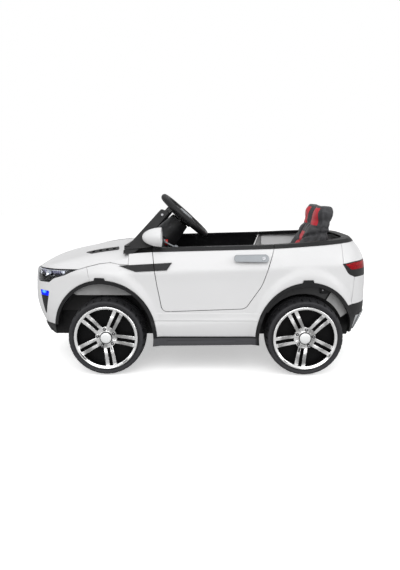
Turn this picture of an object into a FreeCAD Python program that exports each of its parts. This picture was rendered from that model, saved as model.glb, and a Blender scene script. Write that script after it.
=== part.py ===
import FreeCAD, Part

import math
import os

V = FreeCAD.Vector

# Frame: +X to the tail, left side of the car at -Y, floor at Z = 0, millimetres.

# Overall body
BODY_LENGTH = 1090.0
BODY_HALF_WIDTH = 290.0
BODY_RISE = 0.035
NOSE_SQUARENESS = 3.6
TAIL_SQUARENESS = 4.0
WALL = 4.0
CLEAR = 0.4
SEAM = 0.8
SHUT_GAP = 2.0
NOSE_X = -BODY_LENGTH / 2
TAIL_X = BODY_LENGTH / 2
FAR = 700.0

# Body sections: height above the floor against inset from the half width or the two ends
SECTION_LOW = 72.0
SECTION_HIGH = 440.0
SIDE_TOP = 402.0
SIDE_INSET = [(72, 22), (150, 4), (162, 3), (180, 6), (230, 5.5), (290, 3), (322, 0), (338, 5),
              (360, 15), (385, 29), (405, 42), (440, 68)]
NOSE_INSET = [(72, 70), (165, 23), (205, 6), (247, 0), (290, 2), (333, 8), (360, 19), (405, 45), (440, 72)]
TAIL_INSET = [(72, 44), (181, 0), (251, 0), (301, 3), (338, 11), (365, 25), (385, 41), (405, 61), (440, 100)]
# Top of the body along the centre line: distance behind the nose against height
CREST = [(-15, 283), (0, 305), (12, 316), (35, 330), (55, 340), (98, 354), (162, 368), (225, 381),
         (288, 389), (330, 394), (395, 404), (545, 416), (945, 421), (995, 417), (1045, 405),
         (1060, 390), (1077, 360), (1095, 318)]
BONNET_CROWN = 12.0
BONNET_CROWN_AT = 200.0
BONNET_ROLL = 14.0
BONNET_ROLL_FROM = 190.0
BONNET_ROLL_AT = 265.0

# Wheels and axles
WHEELBASE = 606.0
FRONT_AXLE_X = -283.0
REAR_AXLE_X = FRONT_AXLE_X + WHEELBASE
TRACK_OUTER = 600.0
TYRE_RADIUS = 119.0
TYRE_WIDTH = 112.0
RIM_RADIUS = 98.0
RIM_LIP = 9.5
AXLE_RADIUS = 6.0
RUNNING_FIT = 0.06
SPOKE_PAIRS = 5
FRONT_SPOKE_TURN = 63.7
REAR_SPOKE_TURN = 45.0
TREAD_NOTCHES = 30
AXLE_Z = TYRE_RADIUS
WHEEL_FACE_Y = -TRACK_OUTER / 2
WHEEL_INNER_Y = WHEEL_FACE_Y + TYRE_WIDTH

# Wheel arches
FRONT_ARCH_X = FRONT_AXLE_X - 10.0
FRONT_ARCH_HALF = 165.0
FRONT_ARCH_RISE = 176.0
REAR_ARCH_X = REAR_AXLE_X + 7.0
REAR_ARCH_HALF = 157.0
REAR_ARCH_RISE = 170.0
FLARE = 9.0
FLARE_SIDE = 14.0
FLARE_TOP = 48.0
LAMP_DEPTH = 34.0
LAMP_CAVITY = 21.0
CLADDING_BAND = 11.0
CLADDING_PROUD = 4.0
CLADDING_DEPTH = 30.0
TAB_RISE = 7.0
TAB_NOTCH_Y = -250.0
LINER_WALL = 3.0
LINER_BOTTOM = 172.0
FRONT_LINER_Y = -142.0
REAR_LINER_Y = -170.0

# Sill, belt and seams in side view
SILL_TOP = 120.0
SILL_BOTTOM = 88.0
BELT = [(-231, 371.5), (-139, 378.0), (226, 388.0), (440, 400.0), (700, 411.0)]
RAIL_HEIGHT = 11.0
RAIL_WIDTH = 24.0
BUMPER_BOTTOM = 144.0
LIP_BOTTOM = 106.0
BUMPER_SEAM_X = -341.0
BONNET_SEAM_X = -213.0
TAIL_SEAM_X = 440.0
REAR_BUMPER_TOP = 212.0
REAR_BUMPER_BOTTOM = 117.0

# Doors
DOOR_INNER_DEPTH = 18.0
HINGE_X = -86.0
HINGE_Y = -275.0
HINGE_ROD_RADIUS = 3.0
BOLT_Z = 336.0
BOLT_TRAVEL = 8.0

# Chassis tub
TUB_BOTTOM = 92.0
TUB_WALL = 4.0
TUB_HALF_WIDTH = 140.0
TUB_TOP = 215.0
FOOTWELL_HALF_WIDTH = 276.0
FOOTWELL_LOW_HALF = 243.0
FOOTWELL_TOP = 190.0
FOOTWELL_LEDGE = SILL_TOP + CLEAR

# Steering
WHEEL_CENTRE = V(-52.0, 0.0, 475.0)
COLUMN_LEAN = 42.1
STEERING_RADIUS = 93.0
STEERING_GRIP = 11.0
HORN_RADIUS = 27.0
COLUMN_RADIUS = 6.0
COLUMN_LENGTH = 375.0
CRANK = 34.0
CRANK_PIN_RADIUS = 4.0
CRANK_PIN_LENGTH = 22.0
FORK_GAP = 1.5
FORK_WALL = 6.0
FORK_TOP = 210.0
KINGPIN_Y = -185.0
KINGPIN_RADIUS = 5.0
STEERING_ARM = 55.0
ARM_THICKNESS = 8.0
TIE_ROD_Z = 153.9
TIE_ROD_HALF = 6.0
EYE_RADIUS = 13.0
BALL_PIN_RADIUS = 4.0
BEAM_HALF = 9.0
SLEEVE_HALF = 22.0

# Drive
MOTOR_RADIUS = 19.0
MOTOR_LENGTH = 62.0
MOTOR_AHEAD = 62.0
MOTOR_LIFT = 12.0
PEDAL_PIVOT = V(-66.0, 75.0, 103.5)
PEDAL_HALF_WIDTH = 30.0
PEDAL_PIN_RADIUS = 3.0
LEVER_PIVOT = V(-120.0, -100.0, 396.0)
LEVER_PIN_RADIUS = 3.5
LEVER_PIN_HALF = V(0, 12.0, 0)
BUTTON_SEAT = V(-115.0, -62.0, 388.0)

# Seat
SEAT_BASE_Z = 238.0
CUSHION_HALF_WIDTH = 160.0
BACK_HALF_WIDTH = 152.0
SHELF_HALF_WIDTH = 166.0
HEADREST_TOP = 509.0
HEADREST_BOTTOM = 456.0
SPINE_TOP = 385.0
# Back pad: height, front face and rear face
BACK_PROFILE = [(262, 316, 374), (300, 315, 384), (340, 325, 398), (SPINE_TOP, 347, 411), (425, 369, 418),
                (HEADREST_BOTTOM - 3, 379, 423)]

# Windscreen and mirrors
PILLAR_LEAN = 15.5
PILLAR_THICKNESS = 13.0
HEADER_RADIUS = 7.0
MIRROR_CENTRE = V(-112.0, -268.0, 424.0)


def table(rows, at):
    """Smooth curve through a few stations without overshoot."""
    if at <= rows[0][0]:
        return rows[0][1]
    if at >= rows[-1][0]:
        return rows[-1][1]
    last = len(rows) - 1
    grades = [(rows[k + 1][1] - rows[k][1]) / (rows[k + 1][0] - rows[k][0]) for k in range(last)]
    k = max(i for i in range(last) if rows[i][0] <= at)

    def slope(i):
        before = grades[max(i - 1, 0)]
        after = grades[min(i, last - 1)]
        if before * after <= 0:
            return 0.0
        return 2 * before * after / (before + after)

    step = rows[k + 1][0] - rows[k][0]
    s = (at - rows[k][0]) / step
    low = rows[k][1] * (1 + 2 * s) * (1 - s) ** 2 + slope(k) * step * s * (1 - s) ** 2
    high = rows[k + 1][1] * s * s * (3 - 2 * s) - slope(k + 1) * step * s * s * (1 - s)
    return low + high


def smoothstep(low, high, value):
    """0 below low, 1 above high, smooth between."""
    s = min(max((value - low) / (high - low), 0.0), 1.0)
    return s * s * (3 - 2 * s)


def line_at(rows, at):
    """Straight runs through a few stations."""
    for (x0, z0), (x1, z1) in zip(rows, rows[1:]):
        if at <= x1:
            break
    return z0 + (z1 - z0) * (at - x0) / (x1 - x0)


def rounded_wire(points, place):
    """Closed wire through corners (u, v) or (u, v, radius); place maps u, v to space."""
    corners = [(p[0], p[1], p[2] if len(p) > 2 else 0.0) for p in points]
    ends = []
    for i, (u, v, radius) in enumerate(corners):
        here = V(u, v, 0)
        back = (V(*corners[i - 1][:2], 0) - here).normalize()
        ahead = (V(*corners[(i + 1) % len(corners)][:2], 0) - here).normalize()
        if radius == 0:
            ends.append((here, None, here))
            continue
        half = back.getAngle(ahead) / 2
        run = radius / math.tan(half)
        middle = here + (back + ahead).normalize() * (radius / math.sin(half) - radius)
        ends.append((here + back * run, middle, here + ahead * run))
    edges = []
    for i, (start, middle, end) in enumerate(ends):
        if middle is not None:
            edges.append(Part.Arc(place(start), place(middle), place(end)).toShape())
        following = ends[(i + 1) % len(ends)][0]
        if (following - end).Length > 1e-6:
            edges.append(Part.makeLine(place(end), place(following)))
    return Part.Wire(edges)


def side_area(points):
    """Flat face in the XZ plane."""
    return Part.Face(rounded_wire(points, lambda p: V(p.x, 0, p.y)))


def across(face, y0=-FAR, y1=FAR):
    """Side-view face carried across the car from y0 to y1."""
    moved = face.copy()
    moved.translate(V(0, y0, 0))
    return moved.extrude(V(0, y1 - y0, 0))


def plan_block(points, z0, z1):
    """Plan-view outline raised from z0 to z1."""
    face = Part.Face(rounded_wire(points, lambda p: V(p.x, p.y, z0)))
    return face.extrude(V(0, 0, z1 - z0))


def front_block(points, x0, x1):
    """Front-view outline in (y, z) carried from x0 to x1."""
    face = Part.Face(rounded_wire(points, lambda p: V(x0, p.x, p.y)))
    return face.extrude(V(x1 - x0, 0, 0))


def grown(face, distance):
    """Flat face with its outline moved out by a distance, or in if negative."""
    return face.makeOffset2D(distance)


def box(x0, x1, y0, y1, z0, z1):
    """Block between two corners."""
    return Part.makeBox(x1 - x0, y1 - y0, z1 - z0, V(x0, y0, z0))


def cylinder(radius, start, end):
    """Round bar between two points."""
    axis = end - start
    return Part.makeCylinder(radius, axis.Length, start, axis)


def mirrored(shape):
    """The same shape on the other side of the car."""
    return shape.mirror(V(0, 0, 0), V(0, 1, 0))


def both_sides(shape):
    """Group of a left-hand shape and its right-hand twin."""
    return Part.makeCompound(list(shape.Solids) + list(mirrored(shape).Solids))


def fused(shapes):
    """One solid from several that meet."""
    return shapes[0].multiFuse(shapes[1:]).removeSplitter()


def spun(profile):
    """Closed (radius, y) outline turned about the Y axis."""
    face = Part.Face(rounded_wire(profile, lambda p: V(p.x, p.y, 0)))
    return face.revolve(V(0, 0, 0), V(0, 1, 0), 360)


def ellipse_area(x, z, half, rise):
    """Ellipse face in the XZ plane, for the wheel arches."""
    major, minor = max(half, rise), min(half, rise)
    edge = Part.Ellipse(V(0, 0, 0), major, minor).toShape()
    if rise > half:
        edge.rotate(V(0, 0, 0), V(0, 0, 1), 90)
    edge.rotate(V(0, 0, 0), V(1, 0, 0), 90)
    edge.translate(V(x, 0, z))
    return Part.Face(Part.Wire([edge]))


def arch_area(front, margin):
    """One wheel arch's ellipse, grown by a margin."""
    if front:
        return ellipse_area(FRONT_ARCH_X, AXLE_Z, FRONT_ARCH_HALF + margin, FRONT_ARCH_RISE + margin)
    return ellipse_area(REAR_ARCH_X, AXLE_Z, REAR_ARCH_HALF + margin, REAR_ARCH_RISE + margin)


def section_sizes(level, offset):
    """Half width, nose and tail reach of the body at one level."""
    half = BODY_HALF_WIDTH - table(SIDE_INSET, level) + offset
    nose = -NOSE_X - table(NOSE_INSET, level) + offset
    tail = TAIL_X - table(TAIL_INSET, level) + offset
    return half, nose, tail


def plan_point(turn, level, offset):
    """Point of a level's squared-off oval at an angle from the tail."""
    half, nose, tail = section_sizes(level, offset)
    ahead = math.cos(turn) < 0
    reach, power = (nose, NOSE_SQUARENESS) if ahead else (tail, TAIL_SQUARENESS)
    along = abs(math.cos(turn) / reach) ** power
    radius = (along + abs(math.sin(turn) / half) ** power) ** (-1 / power)
    x = radius * math.cos(turn)
    return V(x, -radius * math.sin(turn), level + BODY_RISE * x)


def tapered_body(offset):
    """Body without its top form: squared-off ovals stacked on rising levels, grown by an offset."""
    turns, levels = 49, 17
    grid = []
    for i in range(turns):
        turn = math.pi * (1 - i / (turns - 1))
        row = [plan_point(turn, SECTION_LOW + (SECTION_HIGH - SECTION_LOW) * j / (levels - 1), offset)
               for j in range(levels)]
        if i in (0, turns - 1):
            row = [V(p.x, 0, p.z) for p in row]
        grid.append(row)
    skin = Part.BSplineSurface()
    skin.interpolate(grid)
    u0, u1, v0, v1 = skin.bounds()
    nose, tail = skin.uIso(u0).toShape(), skin.uIso(u1).toShape()
    low, high = skin.vIso(v0).toShape(), skin.vIso(v1).toShape()
    caps = []
    for edge in (low, high):
        closing = Part.makeLine(edge.Vertexes[-1].Point, edge.Vertexes[0].Point)
        caps.append(Part.Face(Part.Wire([edge, closing])))
    sides = [nose, tail]
    for end in (0, -1):
        sides.append(Part.makeLine(nose.Vertexes[end].Point, tail.Vertexes[end].Point))
    caps.append(Part.Face(Part.Wire(Part.__sortEdges__(sides))))
    shell = Part.makeShell([skin.toShape()] + caps)
    shell.sewShape()
    half = Part.makeSolid(shell)
    if half.Volume < 0:
        half.reverse()
    return half.fuse(mirrored(half)).removeSplitter()


def under_top(offset):
    """Everything below the crowned bonnet, deck and tail, moved by an offset."""
    columns, rows = 57, 25
    half = BODY_HALF_WIDTH + 40
    grid = []
    for i in range(columns):
        back = -10 + (BODY_LENGTH + 20) * i / (columns - 1)
        x = NOSE_X + back
        rolled = 1 - 0.8 * smoothstep(BONNET_SEAM_X - 20, BONNET_SEAM_X + 60, x)
        row = []
        for j in range(rows):
            y = -half + 2 * half * j / (rows - 1)
            crown = BONNET_CROWN * (y / BONNET_CROWN_AT) ** 2
            over = max(abs(y) - BONNET_ROLL_FROM, 0) / (BONNET_ROLL_AT - BONNET_ROLL_FROM)
            drop = (crown + BONNET_ROLL * over ** 2) * rolled
            row.append(V(x, y, table(CREST, back) - drop + offset))
        grid.append(row)
    top = Part.BSplineSurface()
    top.interpolate(grid)
    below = top.toShape().extrude(V(0, 0, -FAR))
    if below.Volume < 0:
        below.reverse()
    return below


def body_solid(offset):
    """Whole body form, grown by an offset."""
    return tapered_body(offset).common(under_top(offset))


def side_reach(x, z):
    """How far the bare body side stands from the centre plane."""
    half, nose, tail = section_sizes(z - BODY_RISE * x, 0)
    reach, power = (nose, NOSE_SQUARENESS) if x < 0 else (tail, TAIL_SQUARENESS)
    return half * max(1 - abs(x / reach) ** power, 0.0) ** (1 / power)


def flare_at(x, z):
    """Swelling of the side round the two wheel arches."""
    swell = 0.0
    for middle, half, rise in ((FRONT_ARCH_X, FRONT_ARCH_HALF, FRONT_ARCH_RISE),
                               (REAR_ARCH_X, REAR_ARCH_HALF, REAR_ARCH_RISE)):
        ring = math.hypot((x - middle) / (half + FLARE_SIDE), (z - AXLE_Z) / (rise + FLARE_TOP))
        swell = max(swell, 1 - smoothstep(0.86, 1.0, ring))
    return FLARE * swell * smoothstep(BUMPER_SEAM_X - 12, BUMPER_SEAM_X + 55, x)


def side_slab(offset, thickness):
    """Sheet that follows the left side, its face moved out by an offset, given a thickness inward."""
    columns, rows = 81, 31
    x0, x1 = -470.0, 492.0
    z0, z1 = SILL_BOTTOM - 4, SIDE_TOP
    grid = []
    for i in range(columns):
        x = x0 + (x1 - x0) * i / (columns - 1)
        heights = [z0 + (z1 - z0) * j / (rows - 1) for j in range(rows)]
        grid.append([V(x, -(side_reach(x, z) + flare_at(x, z) + offset), z) for z in heights])
    skin = Part.BSplineSurface()
    skin.interpolate(grid)
    sheet = skin.toShape().extrude(V(0, thickness, 0))
    if sheet.Volume < 0:
        sheet.reverse()
    return sheet


def headlight_area():
    """Side outline of the headlight and grille band."""
    return side_area([(-FAR, 321), (-440, 322.5), (-366, 325), (-392, 315), (-413, 305, 40), (-451, 293, 20),
                      (-468, 279, 8), (-FAR, 266)])


def lamp_window_area():
    """Side outline of the headlight's open inside, above its black lower edge."""
    return side_area([(-FAR, 316), (-440, 318.5), (-384, 320), (-399, 314), (-420, 305, 30), (-FAR, 287)])


def tail_light_area():
    """Side outline of the tail light."""
    return side_area([(438, 341), (480, 346), (FAR, 352), (FAR, 297), (483, 297, 12), (460, 308, 30)])


def corner_vent_area():
    """Side outline of the upright vent in the bumper's corner."""
    return side_area([(-508, 251, 3), (-470, 251, 3), (-490, 164, 3)])


def side_blade_area():
    """Side outline of the black blade vent across wing and door."""
    return side_area([(-240, 339), (-81, 348.5), (-96, 327), (-190, 322, 12)])


def bonnet_edge(shift):
    """Lower edge of the bonnet from the headlight's tip to the blade vent, moved up by a shift."""
    return [(-366, 325 + shift), (BUMPER_SEAM_X, 333 + shift), (-300, 343.5 + shift),
            (-267, 347 + shift), (-239, 342 + shift), (BONNET_SEAM_X, 341 + shift)]


def door_area():
    """Side outline of the door below the belt."""
    return side_area([(-139.5, line_at(BELT, -139.5)), (-126, 282, 120), (-110, 199, 18), (141, 208.5, 26),
                      (191, 281, 120), (226, line_at(BELT, 226))])


def belt_band(x0, x1, lift, height):
    """Strip that follows the belt line between two stations."""
    stations = [x0] + [x for x, _ in BELT if x0 < x < x1] + [x1]
    low = [(x, line_at(BELT, x) + lift) for x in stations]
    high = [(x, z + height) for x, z in reversed(low)]
    return side_area(low + high)


class Body:
    """Shared body forms that the panels and trims are cut from."""

    def __init__(self):
        self.outer = body_solid(0)
        self.shell = self.outer.cut(body_solid(-WALL))
        self.fit = body_solid(-WALL - CLEAR)
        self.skin = side_slab(0, WALL)
        self.arches = [across(arch_area(front, 0)) for front in (True, False)]
        self.rail = tapered_body(1).cut(tapered_body(-RAIL_WIDTH))
        self.inside = tapered_body(-RAIL_WIDTH + 2)


def white_panels(body):
    """Bonnet, bumper, side panels and tail cut from the body shell along their seams."""
    headlight = across(headlight_area())
    edge = bonnet_edge(0.5)
    bonnet_zone = [(-FAR, 321.5), (-440, 323)] + edge + [(BONNET_SEAM_X, 430), (-FAR, 430)]
    bonnet = body.shell.common(across(side_area(bonnet_zone)))
    bonnet = bonnet.cut(both_sides(bonnet_vent(0, -60, 60)))

    low = [(x, z - SEAM) for x, z in bonnet_edge(0)[:2]]
    bumper_zone = [(-FAR, 290), (-451, 305), (-392, 319)] + low
    bumper_zone += [(BUMPER_SEAM_X + 11, 285), (BUMPER_SEAM_X + 11, BUMPER_BOTTOM), (-FAR, BUMPER_BOTTOM)]
    bumper = body.shell.common(across(side_area(bumper_zone))).cut(headlight).cut(body.arches[0])
    bumper = bumper.cut(both_sides(across(corner_vent_area(), -FAR, -120)))
    bumper = bumper.cut(lower_grille_block(0))

    wing_top = [(x + SEAM, z - SEAM) for x, z in bonnet_edge(0)[1:]]
    belt = [(x, line_at(BELT, x)) for x in (wing_top[-1][0], -139, 226, TAIL_SEAM_X)]
    zone = wing_top + belt + [(TAIL_SEAM_X, 341), (470, 325), (482, 297), (475, REAR_BUMPER_TOP)]
    seam = BUMPER_SEAM_X + 11 + SEAM
    zone += [(REAR_AXLE_X + 100, REAR_BUMPER_TOP - 3), (REAR_AXLE_X, SILL_TOP), (seam, SILL_TOP), (seam, 285)]
    panel = body.skin.common(across(side_area(zone), -FAR, 0))
    panel = panel.cut(body.arches[0]).cut(body.arches[1])
    panel = panel.cut(across(grown(door_area(), SHUT_GAP))).cut(across(tail_light_area()))
    for tab in clip_tabs():
        panel = panel.cut(across(grown(tab, CLEAR)))

    start = TAIL_SEAM_X + SEAM
    tail_zone = [(start, 342), (500, 325), (482 + SEAM, 297), (475 + SEAM, REAR_BUMPER_TOP), (FAR, 216)]
    tail_zone += [(FAR, line_at(BELT, FAR)), (start, line_at(BELT, TAIL_SEAM_X))]
    tail = body.shell.common(across(side_area(tail_zone)))
    tail = tail.cut(both_sides(across(tail_light_area(), -FAR, -118)))
    tail = tail.cut(body.inside.common(box(0, FAR, -FAR, FAR, 370, FAR)))
    return {"bonnet": bonnet, "front_bumper": bumper, "side_panel_left": panel,
            "side_panel_right": mirrored(panel), "tail_panel": tail}


def bonnet_vent(margin, z0, z1):
    """Upright block of one bonnet vent's plan outline, between two heights from the crest."""
    outline = [(-366 + margin, -158 - margin, 5), (-258 - margin, -150 - margin, 5),
               (-252 - margin, -196 + margin, 5), (-338 + margin, -200 + margin, 5)]
    return plan_block(outline, 370 + z0, 370 + z1)


def lower_grille_block(margin):
    """Front outline of the intake in the bumper, carried through the nose."""
    return front_block([(-150 + margin, 215 - margin, 8), (150 - margin, 215 - margin, 8),
                        (122 - margin, 168 + margin, 8), (-122 + margin, 168 + margin, 8)], NOSE_X - 10, -480)


def nose_parts(body):
    """Grilles, headlights, corner vents and their lit lenses."""
    band = grown(headlight_area(), -CLEAR)
    split = 104.0
    upper = body.shell.common(across(band, -split, split))
    slots = []
    for k in range(4):
        z = 281 + 10 * k
        outline = [(-92, z + 5.5, 2), (92, z + 5.5, 2), (86, z, 2), (-86, z, 2)]
        slots.append(front_block(outline, NOSE_X - 10, -500))
    upper = upper.cut(Part.makeCompound(slots))
    lower = body.shell.common(lower_grille_block(CLEAR))
    bars = [box(NOSE_X - 10, -480, -130, 130, 176 + 13 * k, 182 + 13 * k) for k in range(3)]
    posts = [box(NOSE_X - 10, -480, y - 2, y + 2, 170, 214) for y in (-75, -25, 25, 75)]
    lower = lower.cut(Part.makeCompound(bars).cut(Part.makeCompound(posts)))
    vent_hole = across(grown(corner_vent_area(), -CLEAR), -FAR, -120)
    vent = body.shell.common(vent_hole)
    lit = box(-FAR, -400, -FAR, 0, 234, FAR)
    grille = [upper, lower] + list(both_sides(vent.cut(lit)).Solids)
    led = vent.common(box(-FAR, -400, -FAR, 0, 234 + CLEAR, FAR))
    side = box(-FAR, -300, -FAR, -split - CLEAR, 0, FAR)
    lens = body.shell.common(across(band)).common(side)
    bowl = body.fit.cut(body_solid(-LAMP_DEPTH)).common(across(grown(headlight_area(), -3))).common(side)
    cavity = body.fit.cut(body_solid(-LAMP_CAVITY)).common(across(lamp_window_area()))
    bowl = bowl.cut(cavity.common(box(-FAR, -300, -FAR, -split - 6, 0, FAR)))
    reflectors = []
    for x, y, z, radius in ((-497, -140, 297, 17), (-470, -185, 301, 15), (-438, -210, 307, 10)):
        centre = V(x, y, z)
        reflectors.append(cylinder(radius, centre + V(-40, -40, 0), centre + V(12, 12, 0)))
    bowl = bowl.cut(Part.makeCompound(reflectors))
    return {"front_grille": Part.makeCompound(sum([list(g.Solids) for g in grille], [])),
            "corner_lamp_lenses": both_sides(led), "headlight_lenses": both_sides(lens)}, bowl


def tail_parts(body):
    """Tail lights, rear bumper, front lip and skid plates."""
    corner = box(300, FAR, -FAR, -118 - CLEAR, 0, FAR)
    area = grown(tail_light_area(), -CLEAR)
    lens_area = side_area([(448, 339), (482, 343.5), (FAR, 349), (FAR, 318), (470, 321, 10)])
    whole = body.shell.common(across(area)).common(corner)
    lens = body.shell.common(across(grown(lens_area, -CLEAR))).common(corner)
    housing = whole.cut(across(lens_area))
    backing = body.fit.cut(body_solid(-16)).common(across(grown(tail_light_area(), -3))).common(corner)
    start = REAR_AXLE_X + 60
    bumper_zone = [(start, REAR_BUMPER_TOP - 4.5), (475, REAR_BUMPER_TOP - SEAM), (FAR, 216 - SEAM),
                   (FAR, REAR_BUMPER_BOTTOM), (start, REAR_BUMPER_BOTTOM)]
    bumper = body.shell.common(across(side_area(bumper_zone))).cut(body.arches[1])
    lip_top = BUMPER_BOTTOM - SEAM
    lip_zone = [(-FAR, lip_top), (-400, lip_top), (-452, LIP_BOTTOM), (-FAR, LIP_BOTTOM)]
    lip = body.shell.common(across(side_area(lip_zone))).cut(body.arches[0])
    proud = body_solid(3.5).cut(body_solid(0.3))
    rear_skid = proud.common(across(side_area([(495, 121), (512, 176), (FAR, 176), (FAR, 121)])))
    rear_skid = rear_skid.cut(box(300, FAR, -70, 70, 0, 150))
    front_skid = proud.common(across(side_area([(-FAR, 134), (-500, 134), (-478, 112), (-FAR, 112)])))
    front_skid = front_skid.common(box(-FAR, 0, -200, 200, 0, FAR))
    lamps = {"tail_light_lenses": both_sides(lens), "rear_bumper": bumper, "front_lip": lip,
             "skid_plates": Part.makeCompound(list(rear_skid.Solids) + list(front_skid.Solids))}
    return lamps, [housing, backing]


def clip_tabs():
    """Side blocks of the clip tab over each arch."""
    tabs = []
    for x, top in ((FRONT_ARCH_X - 7, AXLE_Z + FRONT_ARCH_RISE), (REAR_ARCH_X, AXLE_Z + REAR_ARCH_RISE)):
        foot, crown = top - 6, top + TAB_RISE
        tabs.append(side_area([(x - 19, foot), (x - 15, crown, 2), (x + 15, crown, 2), (x + 19, foot)]))
    return tabs


def cladding_and_liners(body):
    """Black arch and sill cladding, and the liners above the wheels."""
    sheet = side_slab(CLADDING_PROUD, CLADDING_DEPTH)
    sill_top = SILL_TOP - CLEAR
    sill_ends = FRONT_ARCH_X + FRONT_ARCH_HALF - 30, REAR_ARCH_X - REAR_ARCH_HALF + 30
    sill = side_area([(sill_ends[0], sill_top), (sill_ends[1], sill_top), (sill_ends[1], SILL_BOTTOM + 5),
                      (sill_ends[0], SILL_BOTTOM)])
    rings = [across(arch_area(front, -CLEAR)) for front in (True, False)]
    bores = [across(arch_area(front, -CLADDING_BAND)) for front in (True, False)]
    clip = side_area([(-FAR, BUMPER_BOTTOM), (FRONT_AXLE_X, BUMPER_BOTTOM), (FRONT_AXLE_X + 60, SILL_BOTTOM),
                      (REAR_AXLE_X, SILL_BOTTOM + 6), (REAR_AXLE_X + 100, REAR_BUMPER_BOTTOM),
                      (FAR, REAR_BUMPER_BOTTOM), (FAR, FAR), (-FAR, FAR)])
    tabs = [across(tab) for tab in clip_tabs()]
    area = fused([across(sill)] + rings + tabs).cut(bores[0]).cut(bores[1]).common(across(clip))
    cladding = sheet.common(area)
    slot = side_area([(-95, 98, 3), (110, 101, 3), (116, 111, 3), (-100, 108, 3)])
    cladding = cladding.cut(across(slot, -FAR, -BODY_HALF_WIDTH + 11))
    notches = [across(grown(tab, CLEAR), -FAR, TAB_NOTCH_Y) for tab in clip_tabs()]
    liners = []
    for front, axle, inner in ((True, FRONT_AXLE_X, FRONT_LINER_Y), (False, REAR_AXLE_X, REAR_LINER_Y)):
        outer = across(arch_area(front, CLEAR + LINER_WALL), -BODY_HALF_WIDTH, inner)
        well = across(arch_area(front, CLEAR), -BODY_HALF_WIDTH, inner - LINER_WALL)
        above = box(axle - 300, axle + 300, -BODY_HALF_WIDTH, 0, LINER_BOTTOM, FAR)
        liner = outer.cut(well).common(above).common(body.fit)
        liners.append(liner.cut(notches[0]).cut(notches[1]))
    return {"side_cladding": both_sides(cladding),
            "arch_liners": Part.makeCompound(sum([list(both_sides(s).Solids) for s in liners], []))}


def side_blades():
    """Black blade vents: front halves on the wings, rear halves for the doors."""
    sheet = side_slab(3.5, 3.2)
    blade = sheet.common(across(side_blade_area(), -FAR, 0))
    gap = across(grown(door_area(), SHUT_GAP))
    wing = blade.cut(gap)
    wing = max(wing.Solids, key=lambda s: s.Volume)
    behind = blade.common(across(grown(door_area(), -CLEAR)))
    behind = max(behind.Solids, key=lambda s: s.Volume)
    return wing, behind


def bonnet_vent_plates():
    """Louvred black plates set into the bonnet vents."""
    frame = bonnet_vent(CLEAR, -60, 60).common(under_top(1.5)).cut(under_top(-WALL))
    slots = []
    for k in range(4):
        x = -342 + 22 * k
        outline = [(x, -166, 2), (x + 9, -166, 2), (x + 13, -190, 2), (x + 4, -190, 2)]
        slots.append(plan_block(outline, 300, 430))
    return frame.cut(Part.makeCompound(slots))


def belt_rails(body):
    """Black rail that runs along both quarters and round the tail."""
    return body.rail.common(across(belt_band(226 + SHUT_GAP, FAR, CLEAR, RAIL_HEIGHT)))


def windscreen(body):
    """Black hoop with sail panels, a header bar and a clear pane."""
    base_z = 374.0
    stretch = 1 / math.cos(math.radians(PILLAR_LEAN))
    outline = [(-229, 383), (-116, 506, 6), (-91, 497, 6), (-152, 424, 10), (-146, 391)]
    raised = [(p[0], base_z + (p[1] - base_z) * stretch) + tuple(p[2:]) for p in outline]
    plate = across(side_area(raised), 0, PILLAR_THICKNESS)
    plate.rotate(V(0, 0, base_z), V(1, 0, 0), -PILLAR_LEAN)
    plate.translate(V(0, -250, 0))
    foot = body.rail.common(across(belt_band(-229, -139.5 - SHUT_GAP, CLEAR, RAIL_HEIGHT), -FAR, 0))
    foot = foot.cut(under_top(CLEAR))
    tray = [(-228, -245), (-212, -245), (-206, 0), (-212, 245), (-228, 245), (-222, 0)]
    tray = plan_block(tray, 386, 396).cut(under_top(CLEAR))
    header = cylinder(HEADER_RADIUS, V(-108, -214, 491), V(-108, 214, 491))
    pieces = [plate, mirrored(plate), foot, mirrored(foot), header, tray]
    frame = pieces[0].multiFuse(pieces[1:]).removeSplitter()
    pane = across(side_area([(-211, 400), (-112, 490.6), (-109.5, 487.6), (-208.5, 397)]), -212, 212)
    pane = pane.cut(frame)
    pane = max(pane.Solids, key=lambda s: s.Volume)
    return frame, pane


def mirror_outline(half_width, half_height, corner):
    """Front outline of a mirror's glass about its centre."""
    y, z = MIRROR_CENTRE.y, MIRROR_CENTRE.z
    return [(y - half_width, z + half_height, corner), (y + half_width, z + half_height, corner),
            (y + half_width, z - half_height, corner), (y - half_width, z - half_height, corner)]


def mirrors():
    """Door-style mirrors: white housings with glass, carried on black feet."""
    scale = FreeCAD.Matrix()
    scale.scale(58, 33, 29)
    ball = Part.makeSphere(1.0).transformGeometry(scale)
    ball.translate(MIRROR_CENTRE)
    back = MIRROR_CENTRE.x
    housing = ball.cut(box(back, FAR, -FAR, FAR, 0, FAR))
    housing = housing.cut(front_block(mirror_outline(26, 21, 14), back - 6, back))
    glass = front_block(mirror_outline(26 - CLEAR, 21 - CLEAR, 14 - CLEAR), back - 5.7, back - 2.5)
    foot = cylinder(9, V(-150, -232, 408), V(-136, -262, 420)).cut(ball)
    return housing, glass, max(foot.Solids, key=lambda s: s.Volume)


def column_axis():
    """Direction of the steering column from the dashboard up to the driver."""
    lean = math.radians(COLUMN_LEAN)
    return V(math.sin(lean), 0, math.cos(lean))


def column_place():
    """Placement that stands the steering wheel's own frame on the column."""
    return FreeCAD.Placement(WHEEL_CENTRE, FreeCAD.Rotation(V(0, 1, 0), COLUMN_LEAN))


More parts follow.
